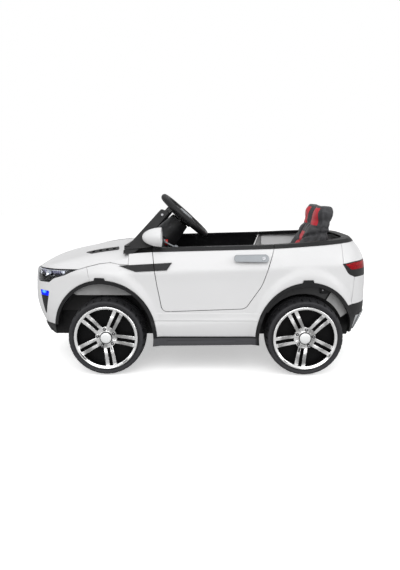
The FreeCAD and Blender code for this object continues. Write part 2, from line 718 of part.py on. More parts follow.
def steering():
    """Steering wheel, horn pad and column with its crank."""
    rim = Part.makeTorus(STEERING_RADIUS, STEERING_GRIP)
    hub = Part.makeCone(38, 44, 26, V(0, 0, -20))
    spokes = []
    for turn, wide in ((90, 15), (-90, 15), (0, 20)):
        narrow = wide * 0.7
        outline = [(30, -wide, 3), (STEERING_RADIUS, -narrow), (STEERING_RADIUS, narrow), (30, wide, 3)]
        spoke = plan_block(outline, -8, 4)
        spoke.rotate(V(0, 0, 0), V(0, 0, 1), turn)
        spokes.append(spoke)
    wheel = fused([rim, hub] + spokes)
    pocket = Part.makeCylinder(HORN_RADIUS + CLEAR, 20, V(0, 0, -6))
    bore = Part.makeCylinder(COLUMN_RADIUS + RUNNING_FIT, 40, V(0, 0, -30))
    wheel = wheel.cut(pocket).cut(bore)
    pad = Part.makeCylinder(HORN_RADIUS, 13, V(0, 0, -2))
    pad = pad.makeFillet(3, [e for e in pad.Edges if e.CenterOfMass.z > 10])
    for piece in (wheel, pad):
        piece.Placement = column_place()
    axis = column_axis()
    foot = WHEEL_CENTRE - axis * COLUMN_LENGTH
    rod = cylinder(COLUMN_RADIUS, foot, WHEEL_CENTRE - axis * 6.5)
    tip = foot - V(axis.z, 0, -axis.x) * CRANK
    crank = cylinder(COLUMN_RADIUS, foot, tip)
    pin = cylinder(CRANK_PIN_RADIUS, tip, tip - axis * CRANK_PIN_LENGTH)
    knees = [Part.makeSphere(COLUMN_RADIUS, point) for point in (foot, tip)]
    column = fused([rod, crank, pin] + knees)
    return wheel, pad, column


def dashboard():
    """Black dashboard with a steering cowl, a lever socket and a button well."""
    profile = side_area([(-204, 300), (-204, 392, 10), (-160, 412, 25), (-118, 408, 8), (-112, 350, 20),
                         (-140, 262, 10)])
    dash = across(profile, -222, 222)
    door_swing = plan_block([(-146, -240), (-60, -240), (-60, -204, 6), (-140, -204, 6)], 200, 500)
    dash = dash.cut(both_sides(door_swing))
    leg_face = -TUB_HALF_WIDTH + TUB_WALL + 0.3
    leg = box(-198, -156, leg_face, leg_face + 7, TUB_TOP - 23, 310)
    dash = fused([dash, leg, mirrored(leg)])
    axis = column_axis()
    top = WHEEL_CENTRE - axis * 24
    cowl = Part.makeCone(46, 33, 84, top - axis * 84, axis)
    dash = dash.fuse(cowl).removeSplitter()
    low = WHEEL_CENTRE - axis * COLUMN_LENGTH
    dash = dash.cut(cylinder(COLUMN_RADIUS + RUNNING_FIT, low, WHEEL_CENTRE))
    dash = dash.cut(cylinder(30, top - axis * 60, top + axis))
    pivot = LEVER_PIVOT
    gate = box(pivot.x, -60, pivot.y - 5, pivot.y + 5, pivot.z - 26, pivot.z + 12)
    dash = dash.cut(Part.makeSphere(8 + CLEAR, pivot)).cut(gate)
    bore_half = LEVER_PIN_HALF + V(0, CLEAR, 0)
    dash = dash.cut(cylinder(LEVER_PIN_RADIUS + RUNNING_FIT, pivot - bore_half, pivot + bore_half))
    return dash.cut(cylinder(10 + CLEAR, BUTTON_SEAT - V(14, 0, 0), BUTTON_SEAT + V(20, 0, 0)))


def ball_ended_rod(start, end, start_ball, rod, end_ball):
    """Round rod with a ball at each end, turned about its own axis."""
    reach = (end - start).Length
    leave = math.sqrt(start_ball ** 2 - rod ** 2)
    arrive = reach - math.sqrt(end_ball ** 2 - rod ** 2)
    edges = [Part.Arc(V(0, 0, -start_ball), V(start_ball, 0, 0), V(rod, 0, leave)).toShape(),
             Part.makeLine(V(rod, 0, leave), V(rod, 0, arrive)),
             Part.Arc(V(rod, 0, arrive), V(end_ball, 0, reach), V(0, 0, reach + end_ball)).toShape(),
             Part.makeLine(V(0, 0, reach + end_ball), V(0, 0, -start_ball))]
    turned = Part.Face(Part.Wire(edges)).revolve(V(0, 0, 0), V(0, 0, 1), 360)
    turned.Placement = FreeCAD.Placement(start, FreeCAD.Rotation(V(0, 0, 1), end - start))
    return turned


def controls():
    """Shift lever, start button and accelerator pedal."""
    lever = ball_ended_rod(LEVER_PIVOT, LEVER_PIVOT + V(42, 0, -22), 8, 3, 9)
    lever = lever.fuse(cylinder(LEVER_PIN_RADIUS, LEVER_PIVOT - LEVER_PIN_HALF, LEVER_PIVOT + LEVER_PIN_HALF))
    button = cylinder(10, BUTTON_SEAT - V(8, 0, 0), BUTTON_SEAT + V(8, 0, 0))
    half = V(0, PEDAL_HALF_WIDTH, 0)
    plate = side_area([(-66, 100), (-150, 122, 2), (-152, 129, 2), (-66, 107)])
    pedal = across(plate, PEDAL_PIVOT.y - PEDAL_HALF_WIDTH, PEDAL_PIVOT.y + PEDAL_HALF_WIDTH)
    pedal = pedal.fuse(cylinder(6.5, PEDAL_PIVOT - half, PEDAL_PIVOT + half)).removeSplitter()
    bore = cylinder(PEDAL_PIN_RADIUS + RUNNING_FIT, PEDAL_PIVOT - half * 2, PEDAL_PIVOT + half * 2)
    pedal = pedal.cut(bore)
    return lever, button, pedal


def tub_outline(half_width, inset):
    """Plan of the tub: narrow between the wheels, wide at the footwell."""
    narrow, wide = TUB_HALF_WIDTH - inset, half_width - inset
    front = FRONT_ARCH_X + FRONT_ARCH_HALF + LINER_WALL + 1 + inset
    rear = REAR_ARCH_X - REAR_ARCH_HALF - LINER_WALL - 1 - inset
    nose, tail = -500 + inset, 500 - inset
    half = [(nose, -narrow), (front, -narrow), (front, -wide, 12), (rear, -wide, 12), (rear, -narrow),
            (tail, -narrow)]
    return half + [(p[0], -p[1]) + tuple(p[2:]) for p in reversed(half)]


def tub(body):
    """Open chassis tub with its footwell, axle slots, hinge bosses and pedal pin."""
    ledge = FOOTWELL_LEDGE
    upper = plan_block(tub_outline(FOOTWELL_HALF_WIDTH, 0), ledge, TUB_TOP)
    lower = plan_block(tub_outline(FOOTWELL_LOW_HALF, 0), TUB_BOTTOM, ledge)
    shell = fused([upper, lower])
    shell = shell.cut(plan_block(tub_outline(FOOTWELL_HALF_WIDTH, TUB_WALL), ledge + TUB_WALL, TUB_TOP + 1))
    floor = TUB_BOTTOM + TUB_WALL
    shell = shell.cut(plan_block(tub_outline(FOOTWELL_LOW_HALF, TUB_WALL), floor, ledge + TUB_WALL))
    front = FRONT_ARCH_X + FRONT_ARCH_HALF - 40
    rear = REAR_ARCH_X - REAR_ARCH_HALF + 40
    low_side = box(front, rear, -FAR, -TUB_HALF_WIDTH - 1, FOOTWELL_TOP, FAR)
    shell = shell.cut(low_side).cut(mirrored(low_side))
    shell = shell.common(body.fit)
    hinge_top = V(HINGE_X, HINGE_Y, FOOTWELL_TOP)
    boss = cylinder(HINGE_ROD_RADIUS + 1.6, V(HINGE_X, HINGE_Y, TUB_BOTTOM + 50), hinge_top)
    ears = [box(PEDAL_PIVOT.x - 7, PEDAL_PIVOT.x + 7, y - 4, y + 4, floor, PEDAL_PIVOT.z + 7.5)
            for y in (PEDAL_PIVOT.y - 34.5, PEDAL_PIVOT.y + 34.5)]
    pin = cylinder(PEDAL_PIN_RADIUS, PEDAL_PIVOT - V(0, 37, 0), PEDAL_PIVOT + V(0, 37, 0))
    shell = fused([shell, boss, mirrored(boss), pin] + ears)
    hole = cylinder(HINGE_ROD_RADIUS + 0.03, hinge_top - V(0, 0, 18), hinge_top + V(0, 0, 5))
    shell = shell.cut(hole).cut(mirrored(hole))
    half = BEAM_HALF + 0.3
    shell = shell.cut(box(FRONT_AXLE_X - half, FRONT_AXLE_X + half, -FAR, FAR, AXLE_Z - half, AXLE_Z + half))
    shell = shell.cut(cylinder(AXLE_RADIUS + 0.3, V(REAR_AXLE_X, -FAR, AXLE_Z), V(REAR_AXLE_X, FAR, AXLE_Z)))
    motor_z = AXLE_Z + MOTOR_LIFT
    motor = cylinder(MOTOR_RADIUS + 0.5, V(motor_x(), -FAR, motor_z), V(motor_x(), FAR, motor_z))
    rod_x = FRONT_AXLE_X - STEERING_ARM
    rod = box(rod_x - 24, rod_x + 24, -FAR, FAR, TIE_ROD_Z - 14, TIE_ROD_Z + 14)
    return shell.cut(motor).cut(rod)


def motor_x():
    """Fore and aft place of the drive motors, ahead of the rear axle."""
    return REAR_AXLE_X - MOTOR_AHEAD


def front_beam():
    """Square beam with a kingpin sleeve at each end."""
    beam = box(FRONT_AXLE_X - BEAM_HALF, FRONT_AXLE_X + BEAM_HALF, KINGPIN_Y + 6, -KINGPIN_Y - 6,
               AXLE_Z - BEAM_HALF, AXLE_Z + BEAM_HALF)
    pin_foot = V(FRONT_AXLE_X, KINGPIN_Y, AXLE_Z - SLEEVE_HALF)
    sleeve = Part.makeCylinder(11, 2 * SLEEVE_HALF, pin_foot)
    hole = Part.makeCylinder(KINGPIN_RADIUS + RUNNING_FIT, 60, pin_foot - V(0, 0, 8))
    return fused([beam, sleeve, mirrored(sleeve)]).cut(hole).cut(mirrored(hole))


def left_knuckle():
    """Forked knuckle with its kingpin, stub axle, steering arm and ball pin."""
    top, bottom = AXLE_Z + SLEEVE_HALF + CLEAR, AXLE_Z - SLEEVE_HALF - CLEAR
    x, y = FRONT_AXLE_X, KINGPIN_Y
    fork = [(x - 12, y - 20), (x + 12, y - 20), (x + 12, y + 12, 11), (x - 12, y + 12, 11)]
    arms = [plan_block(fork, top, top + ARM_THICKNESS), plan_block(fork, bottom - ARM_THICKNESS, bottom)]
    web = box(x - 12, x + 12, y - 20, y - 13, bottom - ARM_THICKNESS, top + ARM_THICKNESS)
    kingpin = cylinder(KINGPIN_RADIUS, V(x, y, bottom - 4), V(x, y, top + 4))
    stub = cylinder(AXLE_RADIUS, V(x, y - 15, AXLE_Z), V(x, axle_end(), AXLE_Z))
    nut = cylinder(11, V(x, axle_end(), AXLE_Z), V(x, axle_end() + 7, AXLE_Z))
    arm_x = x - STEERING_ARM
    arm = plan_block([(arm_x - 8, y - 8, 7.9), (x, y - 9), (x, y + 9), (arm_x - 8, y + 8, 7.9)],
                     top, top + ARM_THICKNESS)
    ball_pin = cylinder(BALL_PIN_RADIUS, V(arm_x, y, top), V(arm_x, y, TIE_ROD_Z + 7))
    return fused(arms + [web, kingpin, stub, nut, arm, ball_pin])


def tie_rod():
    """Rod with an eye at each end and a fork for the column's crank pin."""
    x = FRONT_AXLE_X - STEERING_ARM
    low, high = TIE_ROD_Z - 4, TIE_ROD_Z + 4
    bar = box(x - TIE_ROD_HALF, x + TIE_ROD_HALF, KINGPIN_Y, -KINGPIN_Y, low, high)
    eye = Part.makeCylinder(EYE_RADIUS, high - low, V(x, KINGPIN_Y, low))
    near = CRANK_PIN_RADIUS + FORK_GAP
    lug = box(x - 14, x + TIE_ROD_HALF, near, near + FORK_WALL, low + 1, FORK_TOP)
    rod = fused([bar, eye, mirrored(eye), lug, mirrored(lug)])
    hole = Part.makeCylinder(2 * BALL_PIN_RADIUS, 20, V(x, KINGPIN_Y, low - 5))
    return rod.cut(hole).cut(mirrored(hole))


def running_gear():
    """Front beam, knuckles, tie rod, rear axle, gearboxes with motors and battery."""
    knuckle = left_knuckle()
    x, z = REAR_AXLE_X, AXLE_Z
    axle = cylinder(AXLE_RADIUS, V(x, axle_end(), z), V(x, -axle_end(), z))
    rear_nut = cylinder(11, V(x, axle_end(), z), V(x, axle_end() + 7, z))
    axle = fused([axle, rear_nut, mirrored(rear_nut)])

    case = side_area([(x - 96, z - 22, 20), (x + 40, z - 40, 34), (x + 40, z + 40, 34), (x - 96, z + 44, 20)])
    case = across(case, WHEEL_INNER_Y + 2, -TUB_HALF_WIDTH - 0.3)
    case = case.cut(cylinder(AXLE_RADIUS + RUNNING_FIT, V(x, -FAR, z), V(x, FAR, z)))
    motor_foot = V(motor_x(), -TUB_HALF_WIDTH, z + MOTOR_LIFT)
    motor = cylinder(MOTOR_RADIUS, motor_foot, motor_foot + V(0, MOTOR_LENGTH, 0))
    units = Part.makeCompound(list(both_sides(case).Solids) + list(both_sides(motor).Solids))
    battery = box(140, 224, -75, 75, TUB_BOTTOM + TUB_WALL, 190)
    battery = battery.makeFillet(4, [e for e in battery.Edges if abs(e.Vertexes[0].Z - e.Vertexes[1].Z) > 50])
    return {"front_axle_beam": front_beam(), "knuckle_left": knuckle, "knuckle_right": mirrored(knuckle),
            "tie_rod": tie_rod(), "rear_axle": axle, "drive_units": units, "battery": battery}


def axle_end():
    """Outer end of the axles, under the wheel covers."""
    return WHEEL_FACE_Y + 14


def left_wheel(turn, inner_end):
    """Tyre, wheel body and spoked cover about the origin, outer face at y = 0, inward along +Y."""
    bead = RIM_RADIUS + CLEAR
    wide = TYRE_WIDTH
    crown = TYRE_RADIUS
    outer_half = [(bead, 7, 2), (bead + 9, 0, 8), (crown - 5, 2, 9), (crown - 1.5, 26, 40), (crown, 50, 60)]
    inner_half = [(radius, wide - y, corner) for radius, y, corner in reversed(outer_half)]
    tyre = spun(outer_half + inner_half)
    notches = []
    for k in range(TREAD_NOTCHES):
        for y0, y1, shift in ((-2, 34, 0.0), (wide - 34, wide + 2, 0.5)):
            notch = box(crown - 6, crown + 6, y0, y1, -3, 3)
            notch.rotate(V(0, 0, 0), V(0, 1, 0), 360 * (k + shift) / TREAD_NOTCHES)
            notches.append(notch)
    low, high = crown - 3.5, crown + 4
    grooves = [spun([(low, y - 2.5), (high, y - 2.5), (high, y + 2.5), (low, y + 2.5)])
               for y in (wide / 2 - 10, wide / 2 + 10)]
    tyre = tyre.cut(Part.makeCompound(notches)).cut(Part.makeCompound(grooves))

    bore = AXLE_RADIUS + RUNNING_FIT
    hub_tube = 15.0
    barrel = RIM_RADIUS
    hub = spun([(bore, 22), (hub_tube, 22), (hub_tube, 40), (barrel - 6, 36), (barrel - 6, 12), (barrel, 12),
                (barrel, wide - 6), (barrel - 6, wide - 6), (barrel - 6, 44), (hub_tube, 48),
                (hub_tube, inner_end), (bore, inner_end)])

    lip_edge = barrel - RIM_LIP
    lip = spun([(lip_edge, 3, 2), (barrel - 2, -1.5, 2), (barrel, 2), (barrel, 11), (lip_edge, 11)])
    dish = spun([(12, 8), (60, 9.5, 120), (lip_edge + 2, 4), (lip_edge + 2, 11), (60, 19.5), (12, 19.5)])
    bars = []
    for k in range(SPOKE_PAIRS):
        for side in (-1, 1):
            outline = [(14, side * 5), (barrel - 4, side * 5.5), (barrel - 4, side * 17), (14, side * 13)]
            bar = across(side_area(outline), -5, 40)
            bar.rotate(V(0, 0, 0), V(0, 1, 0), -turn - 360 * k / SPOKE_PAIRS)
            bars.append(bar)
    spokes = dish.common(fused(bars))
    ring = spun([(13, 11), (33, 11), (33, 20), (13, 20)])
    cap = spun([(0, 1), (15, 2.5, 2), (16, 7), (21, 7.5, 1), (21, 20), (13, 20), (13, 11), (0, 11)])
    nuts = []
    for k in range(SPOKE_PAIRS):
        nut = Part.makeCylinder(4.5, 12, V(28, 6, 0), V(0, 1, 0))
        nut.rotate(V(0, 0, 0), V(0, 1, 0), -turn - 360 * (k + 0.5) / SPOKE_PAIRS)
        nuts.append(nut)
    cover = fused([lip, spokes, ring, cap] + nuts)
    return tyre, hub, cover


def wheels():
    """Four wheels, the right-hand ones mirrored."""
    nodes = {}
    ends = {"front": KINGPIN_Y - 20 - CLEAR - WHEEL_FACE_Y, "rear": TYRE_WIDTH + 1.5}
    places = (("front", FRONT_AXLE_X, FRONT_SPOKE_TURN), ("rear", REAR_AXLE_X, REAR_SPOKE_TURN))
    for end, axle_x, turn in places:
        for name, piece in zip(("tyre", "wheel_body", "wheel_cover"), left_wheel(turn, ends[end])):
            piece.translate(V(axle_x, WHEEL_FACE_Y, AXLE_Z))
            nodes["%s_%s_left" % (name, end)] = piece
            nodes["%s_%s_right" % (name, end)] = mirrored(piece)
    return nodes


def pad_section(z, front, back, half, crown):
    """Level outline of the back pad: crowned front, drawn-in sides."""
    pull = 4.0
    corners = [V(front, -half, z), V(front, half, z), V(back, half, z), V(back, -half, z)]
    depth = (front + back) / 2
    middles = [V(front - crown, 0, z), V(depth, half - pull, z), V(back, 0, z), V(depth, -half + pull, z)]
    edges = []
    for i in range(4):
        if i == 2:
            edges.append(Part.makeLine(corners[2], corners[3]))
        else:
            edges.append(Part.Arc(corners[i], middles[i], corners[(i + 1) % 4]).toShape())
    return Part.Wire(edges)


def cushion_section(x, low, high, half, crown):
    """Upright outline across the seat cushion: crowned top, drawn-in sides."""
    corners = [V(x, -half, low), V(x, half, low), V(x, half, high), V(x, -half, high)]
    middle = (low + high) / 2
    edges = [Part.makeLine(corners[0], corners[1])]
    edges.append(Part.Arc(corners[1], V(x, half - 4, middle), corners[2]).toShape())
    edges.append(Part.Arc(corners[2], V(x, 0, high + crown), corners[3]).toShape())
    edges.append(Part.Arc(corners[3], V(x, -half + 4, middle), corners[0]).toShape())
    return Part.Wire(edges)


def seat():
    """Plastic seat shell, padded cushion and the two-lobed padded back."""
    low = SEAT_BASE_Z + 0.5
    sections = [cushion_section(x, low, high, half, crown) for x, high, half, crown in
                ((112, 262, CUSHION_HALF_WIDTH - 14, 6), (124, 274, CUSHION_HALF_WIDTH - 2, 9),
                 (180, 277, CUSHION_HALF_WIDTH, 9), (245, 272, CUSHION_HALF_WIDTH, 7),
                 (294, 262, CUSHION_HALF_WIDTH - 6, 4))]
    cushion = Part.makeLoft(sections, True)
    shape = zip(BACK_PROFILE, (4, 0, 0, 3, 5, 8), (8, 14, 14, 10, 8, 6))
    sections = [pad_section(z, front, back, BACK_HALF_WIDTH - inset, crown)
                for (z, front, back), inset, crown in shape]
    back = Part.makeLoft(sections, True)
    rows = [(HEADREST_BOTTOM - 2.4, 381, 424, 66, 6), (HEADREST_BOTTOM + 12, 381, 429, 69, 8),
            (HEADREST_TOP - 16, 388, 432, 66, 8), (HEADREST_TOP, 396, 427, 52, 4)]
    lobe = Part.makeLoft([pad_section(*row) for row in rows], True)
    lobe.translate(V(0, -76, 0))
    shell_front = [(b + 0.9, z) for z, _, b in BACK_PROFILE if z <= SPINE_TOP]
    outline = [(108, TUB_TOP + 0.3), (108, SEAT_BASE_Z), (shell_front[0][0], SEAT_BASE_Z)] + shell_front
    outline += [(446, SPINE_TOP, 12), (466, TUB_TOP + 0.3)]
    shell = across(side_area(outline), -BACK_HALF_WIDTH + 12, BACK_HALF_WIDTH - 12)
    shelf = box(108, 440, -SHELF_HALF_WIDTH, SHELF_HALF_WIDTH, TUB_TOP + 0.3, SEAT_BASE_Z)
    shell = fused([shell, shelf])
    pads = Part.makeCompound([back] + list(both_sides(lobe).Solids))
    return shell, cushion, pads


def doors(body, blade):
    """Left door: white skin, black inner panel with its top rail, silver handle and sliding bolt."""
    skin = body.skin.common(across(door_area(), -FAR, 0))
    sheet = side_slab(-WALL - 0.3, DOOR_INNER_DEPTH)
    inner = sheet.common(across(grown(door_area(), -5), -FAR, 0))
    rail = body.rail.common(across(belt_band(-139.5, 226, CLEAR, RAIL_HEIGHT), -FAR, 0))
    strip = sheet.common(across(belt_band(-130, 216, -8, 12), -FAR, 0))
    inner = fused([inner, strip, rail])
    for radius, z0, z1 in ((HINGE_ROD_RADIUS + RUNNING_FIT, 0, 331), (HINGE_ROD_RADIUS + 2.4, 0, 236),
                           (HINGE_ROD_RADIUS + 2.4, 262, 300), (HINGE_ROD_RADIUS + 2.4, 326, 336)):
        inner = inner.cut(cylinder(radius, V(HINGE_X, HINGE_Y, z0), V(HINGE_X, HINGE_Y, z1)))
    inner = max(inner.Solids, key=lambda s: s.Volume)
    bolt_y = bolt_centre_y()
    bolt = box(150, 196, bolt_y - 5, bolt_y + 5, BOLT_Z - 6, BOLT_Z + 6)
    knob = cylinder(6, V(160, bolt_y, BOLT_Z), V(160, bolt_y + 22, BOLT_Z))
    bolt = bolt.fuse(knob).removeSplitter()
    way = box(149, 300, bolt_y - 5.3, bolt_y + 5.3, BOLT_Z - 6.3, BOLT_Z + 6.3)
    window = box(153.5, 167 + BOLT_TRAVEL, bolt_y, bolt_y + 40, BOLT_Z - 6.5, BOLT_Z + 6.5)
    inner = inner.cut(way).cut(window)
    handle = side_area([(105, 353, 8), (208, 352, 8), (210, 373, 9), (107, 371, 8)])
    bar = side_slab(13, 12.6).common(across(handle, -FAR, 0))
    finger = side_area([(133, 346), (182, 346), (178, 361, 6), (137, 360, 6)])
    bar = bar.cut(side_slab(9, 20).common(across(finger, -FAR, 0)))
    return skin, Part.makeCompound([inner, blade]), bar, bolt


def bolt_centre_y():
    """Depth of the door bolt, in the middle of the inner panel."""
    return -side_reach(175, BOLT_Z) + WALL + 0.3 + DOOR_INNER_DEPTH / 2


def hinge_rods():
    """Steel rods that stand in the sills and carry the doors."""
    rod = cylinder(HINGE_ROD_RADIUS, V(HINGE_X, HINGE_Y, FOOTWELL_TOP - 18), V(HINGE_X, HINGE_Y, 330))
    return both_sides(rod)


def build():
    """Every node of the car, by name."""
    body = Body()
    nodes = dict(white_panels(body))
    lights, bowl = nose_parts(body)
    nodes.update(lights)
    rear, rear_housings = tail_parts(body)
    nodes.update(rear)
    housings = [bowl] + rear_housings
    nodes["lamp_housings"] = Part.makeCompound(sum([list(both_sides(h).Solids) for h in housings], []))
    nodes.update(cladding_and_liners(body))
    wing_blade, door_blade = side_blades()
    vents = list(both_sides(bonnet_vent_plates()).Solids) + list(both_sides(wing_blade).Solids)
    nodes["body_vents"] = Part.makeCompound(vents)
    nodes["belt_rails"] = belt_rails(body)
    frame, pane = windscreen(body)
    housing, glass, foot = mirrors()
    nodes["windscreen_frame"] = frame.multiFuse([foot, mirrored(foot)]).removeSplitter()
    nodes["windscreen_pane"] = pane
    nodes["mirror_housings"] = both_sides(housing)
    nodes["mirror_glasses"] = both_sides(glass)
    nodes["dashboard"] = dashboard()
    nodes["steering_wheel"], nodes["horn_pad"], nodes["steering_column"] = steering()
    nodes["shift_lever"], nodes["start_button"], nodes["accelerator_pedal"] = controls()
    nodes["chassis_tub"] = tub(body)
    nodes.update(running_gear())
    nodes.update(wheels())
    nodes["seat_shell"], nodes["seat_cushion"], nodes["seat_back_pad"] = seat()
    nodes["hinge_rods"] = hinge_rods()
    for name, shape in zip(("door_skin", "door_inner", "door_handle", "door_bolt"), doors(body, door_blade)):
        nodes[name + "_left"] = shape
        nodes[name + "_right"] = mirrored(shape)
    return nodes


def main():
    """Write one STEP file per node."""
    os.makedirs("parts", exist_ok=True)
    for name, shape in build().items():
        print(name, len(shape.Solids), shape.isValid(), round(shape.Volume))
        shape.exportStep("parts/" + name + ".step")


main()
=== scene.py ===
import math

import bmesh
import bpy
import numpy as np
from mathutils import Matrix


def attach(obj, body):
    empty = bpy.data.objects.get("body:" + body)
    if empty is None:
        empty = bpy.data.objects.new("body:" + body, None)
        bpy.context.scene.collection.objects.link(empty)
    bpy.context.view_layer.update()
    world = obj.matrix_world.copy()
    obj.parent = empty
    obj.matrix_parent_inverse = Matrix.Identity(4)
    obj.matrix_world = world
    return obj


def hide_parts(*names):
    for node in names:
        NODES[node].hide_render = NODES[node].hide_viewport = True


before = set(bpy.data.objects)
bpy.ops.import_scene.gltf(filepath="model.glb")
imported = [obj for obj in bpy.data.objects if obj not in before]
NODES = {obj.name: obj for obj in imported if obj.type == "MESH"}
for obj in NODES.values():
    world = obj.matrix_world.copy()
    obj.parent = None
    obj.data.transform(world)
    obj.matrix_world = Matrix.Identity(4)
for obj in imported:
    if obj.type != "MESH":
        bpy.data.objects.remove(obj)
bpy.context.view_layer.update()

bl_info = {
    "name": "Ride-on Car Dresser",
    "version": (1, 0, 0),
    "blender": (4, 5, 0),
    "location": "View3D > Sidebar > Ride-on car",
    "description": "Dresses the packed ride-on car with finishes, padded seat and small fittings",
    "category": "Object",
}

SIDES = (("left", -1), ("right", 1))


def points_of(mesh):
    """Vertex places as rows of x, y and z."""
    flat = np.empty(len(mesh.vertices) * 3)
    mesh.vertices.foreach_get("co", flat)
    return flat.reshape(-1, 3)


def axle_of(wheel):
    """Axle of a wheel as (x, z): the middle of the node's box, to a tenth of a millimetre."""
    points = points_of(NODES[wheel].data)
    middle = (points.min(0) + points.max(0)) / 2
    return round(float(middle[0]), 4), round(float(middle[2]), 4)


# Axles as (x, z); arches as half ellipses: middle, half length and rise above the axle
FRONT_AXLE = axle_of("wheel_cover_front_left")
REAR_AXLE = axle_of("wheel_cover_rear_left")
FRONT_ARCH = (-0.293, 0.165, 0.176)
REAR_ARCH = (0.330, 0.157, 0.170)
ARCH_LAP = 0.001
TYRE_CLEAR = 0.1295

# The body from above: squared ovals at the nose and at the tail
NOSE_HALF = 0.2865
NOSE_REACH = 0.5418
NOSE_POWER = 3.6
TAIL_REACH = 0.545
TAIL_POWER = 4

# Liner faces: furthest from the middle line, set in from the body's side, thickness
LINER_HALF = 0.2515
LINER_INSET = 0.012
LINER_SHEET = 0.002

# Wheel covers: direction of a spoke in degrees, radii, and faces out from the middle of the car
FRONT_SPOKE = 63.7
REAR_SPOKE = 45.0
SPOKES = 5
SPOKE_RIDGE = 0.055
BOLT_CIRCLE = 0.0265
BOLT_HEAD = 0.0026
HUB_FACE = 0.2945
DISC_FACE = 0.2993

# Edges in the finishes, as pairs: where a change starts and where it is done
RIM_EDGE = (0.083, 0.086)
TREAD_EDGE = (0.1115, 0.1145)
WALL_RINGS_START = (0.1, 0.1015)
WALL_RINGS_END = (0.1075, 0.109)
LOW_CREASE = (0.168, 0.173)
HIGH_CREASE = (0.191, 0.195)
SILL_EDGE = (0.114, 0.118)
PANEL_SIDE = (0.036, 0.0375)
PANEL_LOW = (0.447, 0.449)
PANEL_HIGH = (0.503, 0.505)
STRIPE_SIDE = (0.026, 0.0275)
STRIPE_TOP = (0.421, 0.423)

# Seat back: places across of the red panels, the lobes and the seams, height of the necks, seam width
PANEL_MIDDLE = 0.076
LOBE_MIDDLE = 0.078
SEAM_MIDDLE = 0.07
NECK = 0.439
SEAM_WIDTH = 0.004

# Headlights: bulbs as (x, z, radius of the bowl), depths behind the nose, and the radius of a bar
BULBS = ((-0.512, 0.3005, 0.0115), (-0.474, 0.304, 0.0115), (-0.420, 0.3125, 0.0065))
BULB_DEPTH = 0.012
BAR_DEPTH = 0.009
SHROUD_DEPTH = 0.008
BAR_RADIUS = 0.0013

# Turned fittings as rows of radius and height
LOCK_PROFILE = ((0, 0.0004), (0.0012, 0.0004), (0.0016, 0.0014), (0.0052, 0.0016), (0.006, 0.0006),
                (0.006, -0.003), (0, -0.003))
DISC_PROFILE = ((0, 0.0022), (0.006, 0.002), (0.0115, 0.0012), (0.0148, 0.0002), (0.0165, -0.0014),
                (0.0165, -0.004), (0, -0.004))
GROOVE_PROFILE = ((0.0158, 0.0022), (0.0186, 0.0022), (0.019, 0.0014), (0.019, -0.002), (0.0158, -0.002))
SOCKET_PROFILE = ((0, 0.0008), (0.0042, 0.0008), (0.0046, 0.0002), (0.0046, -0.002), (0, -0.002))
KNOB_PROFILE = ((0, 0.012), (0.006, 0.012), (0.0078, 0.0105), (0.0085, 0.002), (0.0105, 0.0008),
                (0.0105, -0.002), (0, -0.002))
SPEAKER_PROFILE = ((0.020, 0.0), (0.0215, 0.0028), (0.0262, 0.0028), (0.0278, 0.0), (0.0278, -0.003),
                   (0.020, -0.003), (0.020, 0.0))

# The stage: floor, camera in degrees and metres, softboxes as name, place, aim, size and share of the power
FLOOR_HALF = 9.0
FLOOR_LINES = 19
CAMERA_LENS = 35.25
CAMERA_PLACE = (0.021, -1.94, 0.575)
CAMERA_DIP = 10.055
CAMERA_TURN = 0.601
SOFTBOXES = (("softbox_front", (-0.2, -2.6, 2.0), (0.0, -0.2, 0.2), 2.6, 1.0),
             ("softbox_top", (0.1, 0.3, 2.6), (0.0, 0.0, 0.0), 2.4, 0.14),
             ("softbox_nose", (-2.4, -1.0, 1.2), (-0.3, 0.0, 0.3), 1.4, 0.17),
             ("softbox_tail", (2.4, -1.0, 1.2), (0.3, 0.0, 0.3), 1.4, 0.34))


class Wire:
    """A shader socket that takes part in arithmetic; each operation adds one Math node."""

    def __init__(self, finish, socket):
        self.finish = finish
        self.socket = socket

    def __add__(self, other):
        return self.finish.maths("ADD", self, other)

    def __sub__(self, other):
        return self.finish.maths("SUBTRACT", self, other)

    def __rsub__(self, other):
        return self.finish.maths("SUBTRACT", other, self)

    def __mul__(self, other):
        return self.finish.maths("MULTIPLY", self, other)

    def __pow__(self, other):
        return self.finish.maths("POWER", self, other)

    def __rpow__(self, other):
        return self.finish.maths("POWER", other, self)

    def __abs__(self):
        return self.finish.maths("ABSOLUTE", self)

    __radd__ = __add__
    __rmul__ = __mul__


